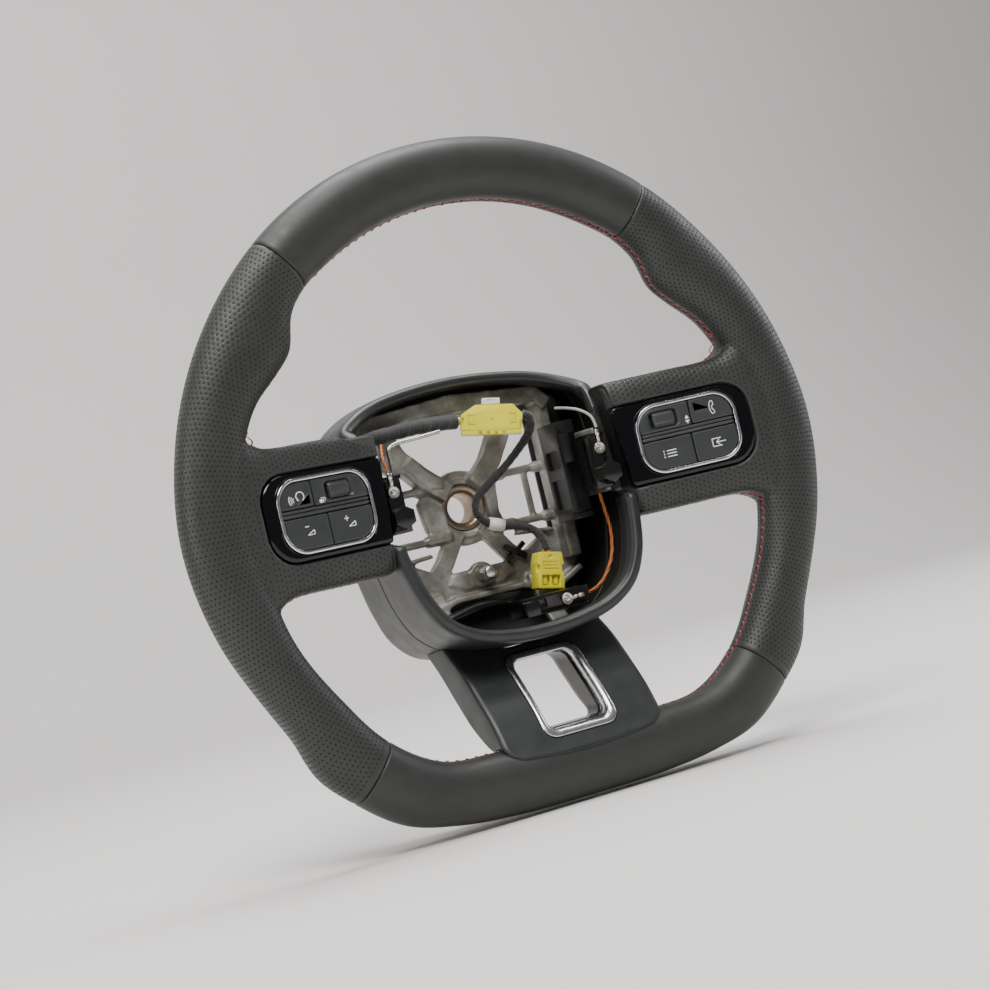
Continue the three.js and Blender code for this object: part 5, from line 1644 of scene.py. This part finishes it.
def make_lower_connector():
    outline = rounded_outline([(-7.75, -10, 0.8), (7.75, -10, 0.8), (7.75, 4, 1), (6.6, 10, 1), (-6.6, 10, 1),
                               (-7.75, 4, 1)], 5)
    body = rings_mesh([lift(outline, -5), lift(outline, 5)])
    cutters = [block((-5.4, 5.4), (-6, -1.5), (-8.2, -2.6)), block((-4.6, 4.6), (-6, -4.5), (0.6, 1.1)),
               block((-4.6, 4.6), (-6, -4.5), (2.4, 2.9)), block((-4.6, 4.6), (-6, -4.5), (4.2, 4.7)),
               block((-9, -6.6), (-6, -2), (-1, 3)), block((6.6, 9), (-6, -2), (-1, 3)),
               block((-1.2, 1.2), (-6, -4.2), (6.4, 8.2))]
    angle = math.radians(12)
    shell = carved("lower_connector_shell", body, cutters, "connector_yellow", 0.3, LOWER_CONNECTOR, angle)
    finish_piece(shell, "connector_yellow", "lower_connector")
    pins = joined_parts([block((x - 1.1, x + 1.1), (-3.6, -1.2), (-7.4, -3.4)) for x in (-3.2, 3.2)]
                        + [block((-0.7, 0.7), (-4.2, -1.2), (-8.3, -2.6))])
    insert = build("lower_connector_keys", tilted(pins[0], LOWER_CONNECTOR, angle), pins[1],
                   "connector_yellow")
    finish_piece(bevelled(insert, 0.2, 2), "connector_yellow")


def make_contacts():
    for name, side in SIDES.items():
        contact = cad_copy(f"horn_contact_{name}_block", f"horn_contact_{name}", "black_plastic")
        tools = [block(sorted((side * 54, side * 57)), (16, 20.2), (-1, 14)),
                 block(sorted((side * 64.2, side * 67)), (16, 21), (-12, 14)),
                 block(sorted((side * 54, side * 58)), (22, 26), (-10, 12))]
        for points, faces in tools:
            cut(contact, build("tool", points, faces, "black_plastic", smooth=False))
        contact.data.materials.clear()
        contact.data.materials.append(PAINTS["contact_black"])
        finish_piece(bevelled(contact, 0.6, 3), "black_plastic", f"horn_contact_{name}")
        eyelet = build(f"ring_terminal_{name}_eyelet",
                       *eyelet_mesh((side * CONTACT_X, 17.7, 7.5), side * 0.05), "eyelet_steel")
        finish_piece(smooth_by_angle(eyelet, 40), "steel", f"ring_terminal_{name}")
    bottom = cad_copy("horn_contact_bottom_block", "horn_contact_bottom", "contact_black")
    for points, faces in (block((2, 36), (22, 25.2), (-71, -70)), block((8, 12), (22, 26), (-69, -64)),
                          block((-1, 36), (28, 31), (-63, -60))):
        cut(bottom, build("tool", points, faces, "contact_black", smooth=False))
    finish_piece(bevelled(bottom, 0.7, 3), "black_plastic", "horn_contact_bottom")
    eyelet = build("ring_terminal_bottom_eyelet", *eyelet_mesh((24, 23.7, -67), math.pi / 2), "eyelet_steel")
    finish_piece(smooth_by_angle(eyelet, 40), "steel", "ring_terminal_bottom")
    guide = cad_copy("wire_guide_body", "wire_guide_box", "black_plastic")
    for points, faces in (block((44, 47.6), (37, 53), (-20, -4)), block((44, 47.6), (37, 53), (2, 12)),
                          block((49, 58), (33, 34.8), (-22, 20)), block((45, 58), (32, 36), (-24, -22.8))):
        cut(guide, build("tool", points, faces, "black_plastic", smooth=False))
    finish_piece(bevelled(guide, 0.9, 3), "black_plastic", "wire_guide_box")


def make_pocket_liner():
    """The moulded rib on the rear cover's floor, below the casting, coloured as painted shade: far darker than the
    cover's satin plastic.
    """
    path = smooth_path(np.array([(-47, 66, -60), (-40, 63, -66), (-27, 61, -64), (-8, 60, -61.5), (6, 60, -63),
                                 (15, 61, -67.5)], float), 90)
    ease = np.sin(np.linspace(0, math.pi, 90)) ** 0.35
    rib = build("pocket_floor_rib", *tube_mesh(path, 1.0 + 2.4 * ease, 20), "pocket_gloss")
    finish_piece(rib, "satin_plastic")


def make_wiring():
    sleeve = build("harness_sleeve_tape", *taped(SLEEVE_ROUTE, 4.0, 160, 6.5, 3), "cloth_tape")
    finish_piece(sleeve, "cloth_tape", "harness_sleeve")
    lead = build("harness_lead_tape", *taped(LEAD_ROUTE, 2.3, 420, 4.2, 5), "cloth_tape")
    finish_piece(lead, "cloth_tape", "harness_lead")
    wire("airbag_spring", SPRING_ROUTE, 1.0, "steel", "steel", "airbag_spring_wire", 160)
    wire("wire_left_pair", LEFT_WIRE, 0.8, "wire_orange", "wire_orange", "wire_left", strands=2)
    wire("wire_right_pair", RIGHT_WIRE, 0.8, "wire_grey", "wire_orange", "wire_right", strands=1)
    wire("wire_bottom_loom", LOOM_ROUTE, 1.0, "wire_orange", "wire_orange", "wire_bottom", strands=3)
    pigtails = []
    for dx in (-2.2, 1.4):
        path = smooth_path(np.array([(32.4 + dx * 0.6, 52.5, -38.4), (31.8 + dx, 50.6, -41.2),
                                     (31.9 + dx, 51.3, -44.2)], float), 30)
        pigtails.append(tube_mesh(path, 0.75, 10))
    points, faces = joined_parts(pigtails)
    finish_piece(build("lower_connector_wires", points, faces, "wire_orange"), "wire_orange")
    path = smooth_path(np.array([(-3.9, 51, 39.5), (-1.6, 50.8, 39.2), (0.8, 50.3, 38.9)], float), 12)
    finish_piece(build("upper_connector_wires", *tube_mesh(path, 1.9, 12), "wire_yellow"), "wire_orange")

    start, direction = np.array([10.4, 59.9, -19.3]), np.array([10, -0.6, -3.6])
    direction = direction / np.linalg.norm(direction)
    up = np.cross(direction, [0, 1, 0])
    up /= np.linalg.norm(up)
    out = np.cross(direction, up)
    angles = np.linspace(0, 2 * math.pi, 48, endpoint=False)
    rings = []
    for along, r in ((-4.5, 2.75), (-4.5, 3.35), (0, 3.5), (4.5, 3.35), (4.5, 2.75), (0, 2.75)):
        squash = 1.0 + 0.04 * np.sin(2 * angles)
        rings.append(start + direction * along + (r * squash * np.cos(angles))[:, None] * up
                     + (r * np.sin(angles))[:, None] * out)
    finish_piece(build("harness_label_sleeve", *rings_mesh(rings, closed=True), "white_plastic"), "white_plastic",
                 "harness_label")
    clip = cad_copy("cross_clip_body", "cross_clip", "black_plastic")
    finish_piece(bevelled(clip, 0.5, 3), "black_plastic", "cross_clip")


# ------------------------------------------------------------------ the whole scene
make_camera()
make_stage()
make_lights()
make_leather()
make_hub()
make_lower_spoke()
make_pads()
make_casting()
make_contacts()
make_upper_connector()
make_lower_connector()
make_pocket_liner()
make_wiring()

for node_name, node in frame["nodes"].items():
    slot_name = next(s["material_slot"] for s in frame["record"]["subparts"] if s["node"] == node_name)
    node.data.materials.clear()
    node.data.materials.append(PAINTS.get(slot_name, PAINTS["black_plastic"]))
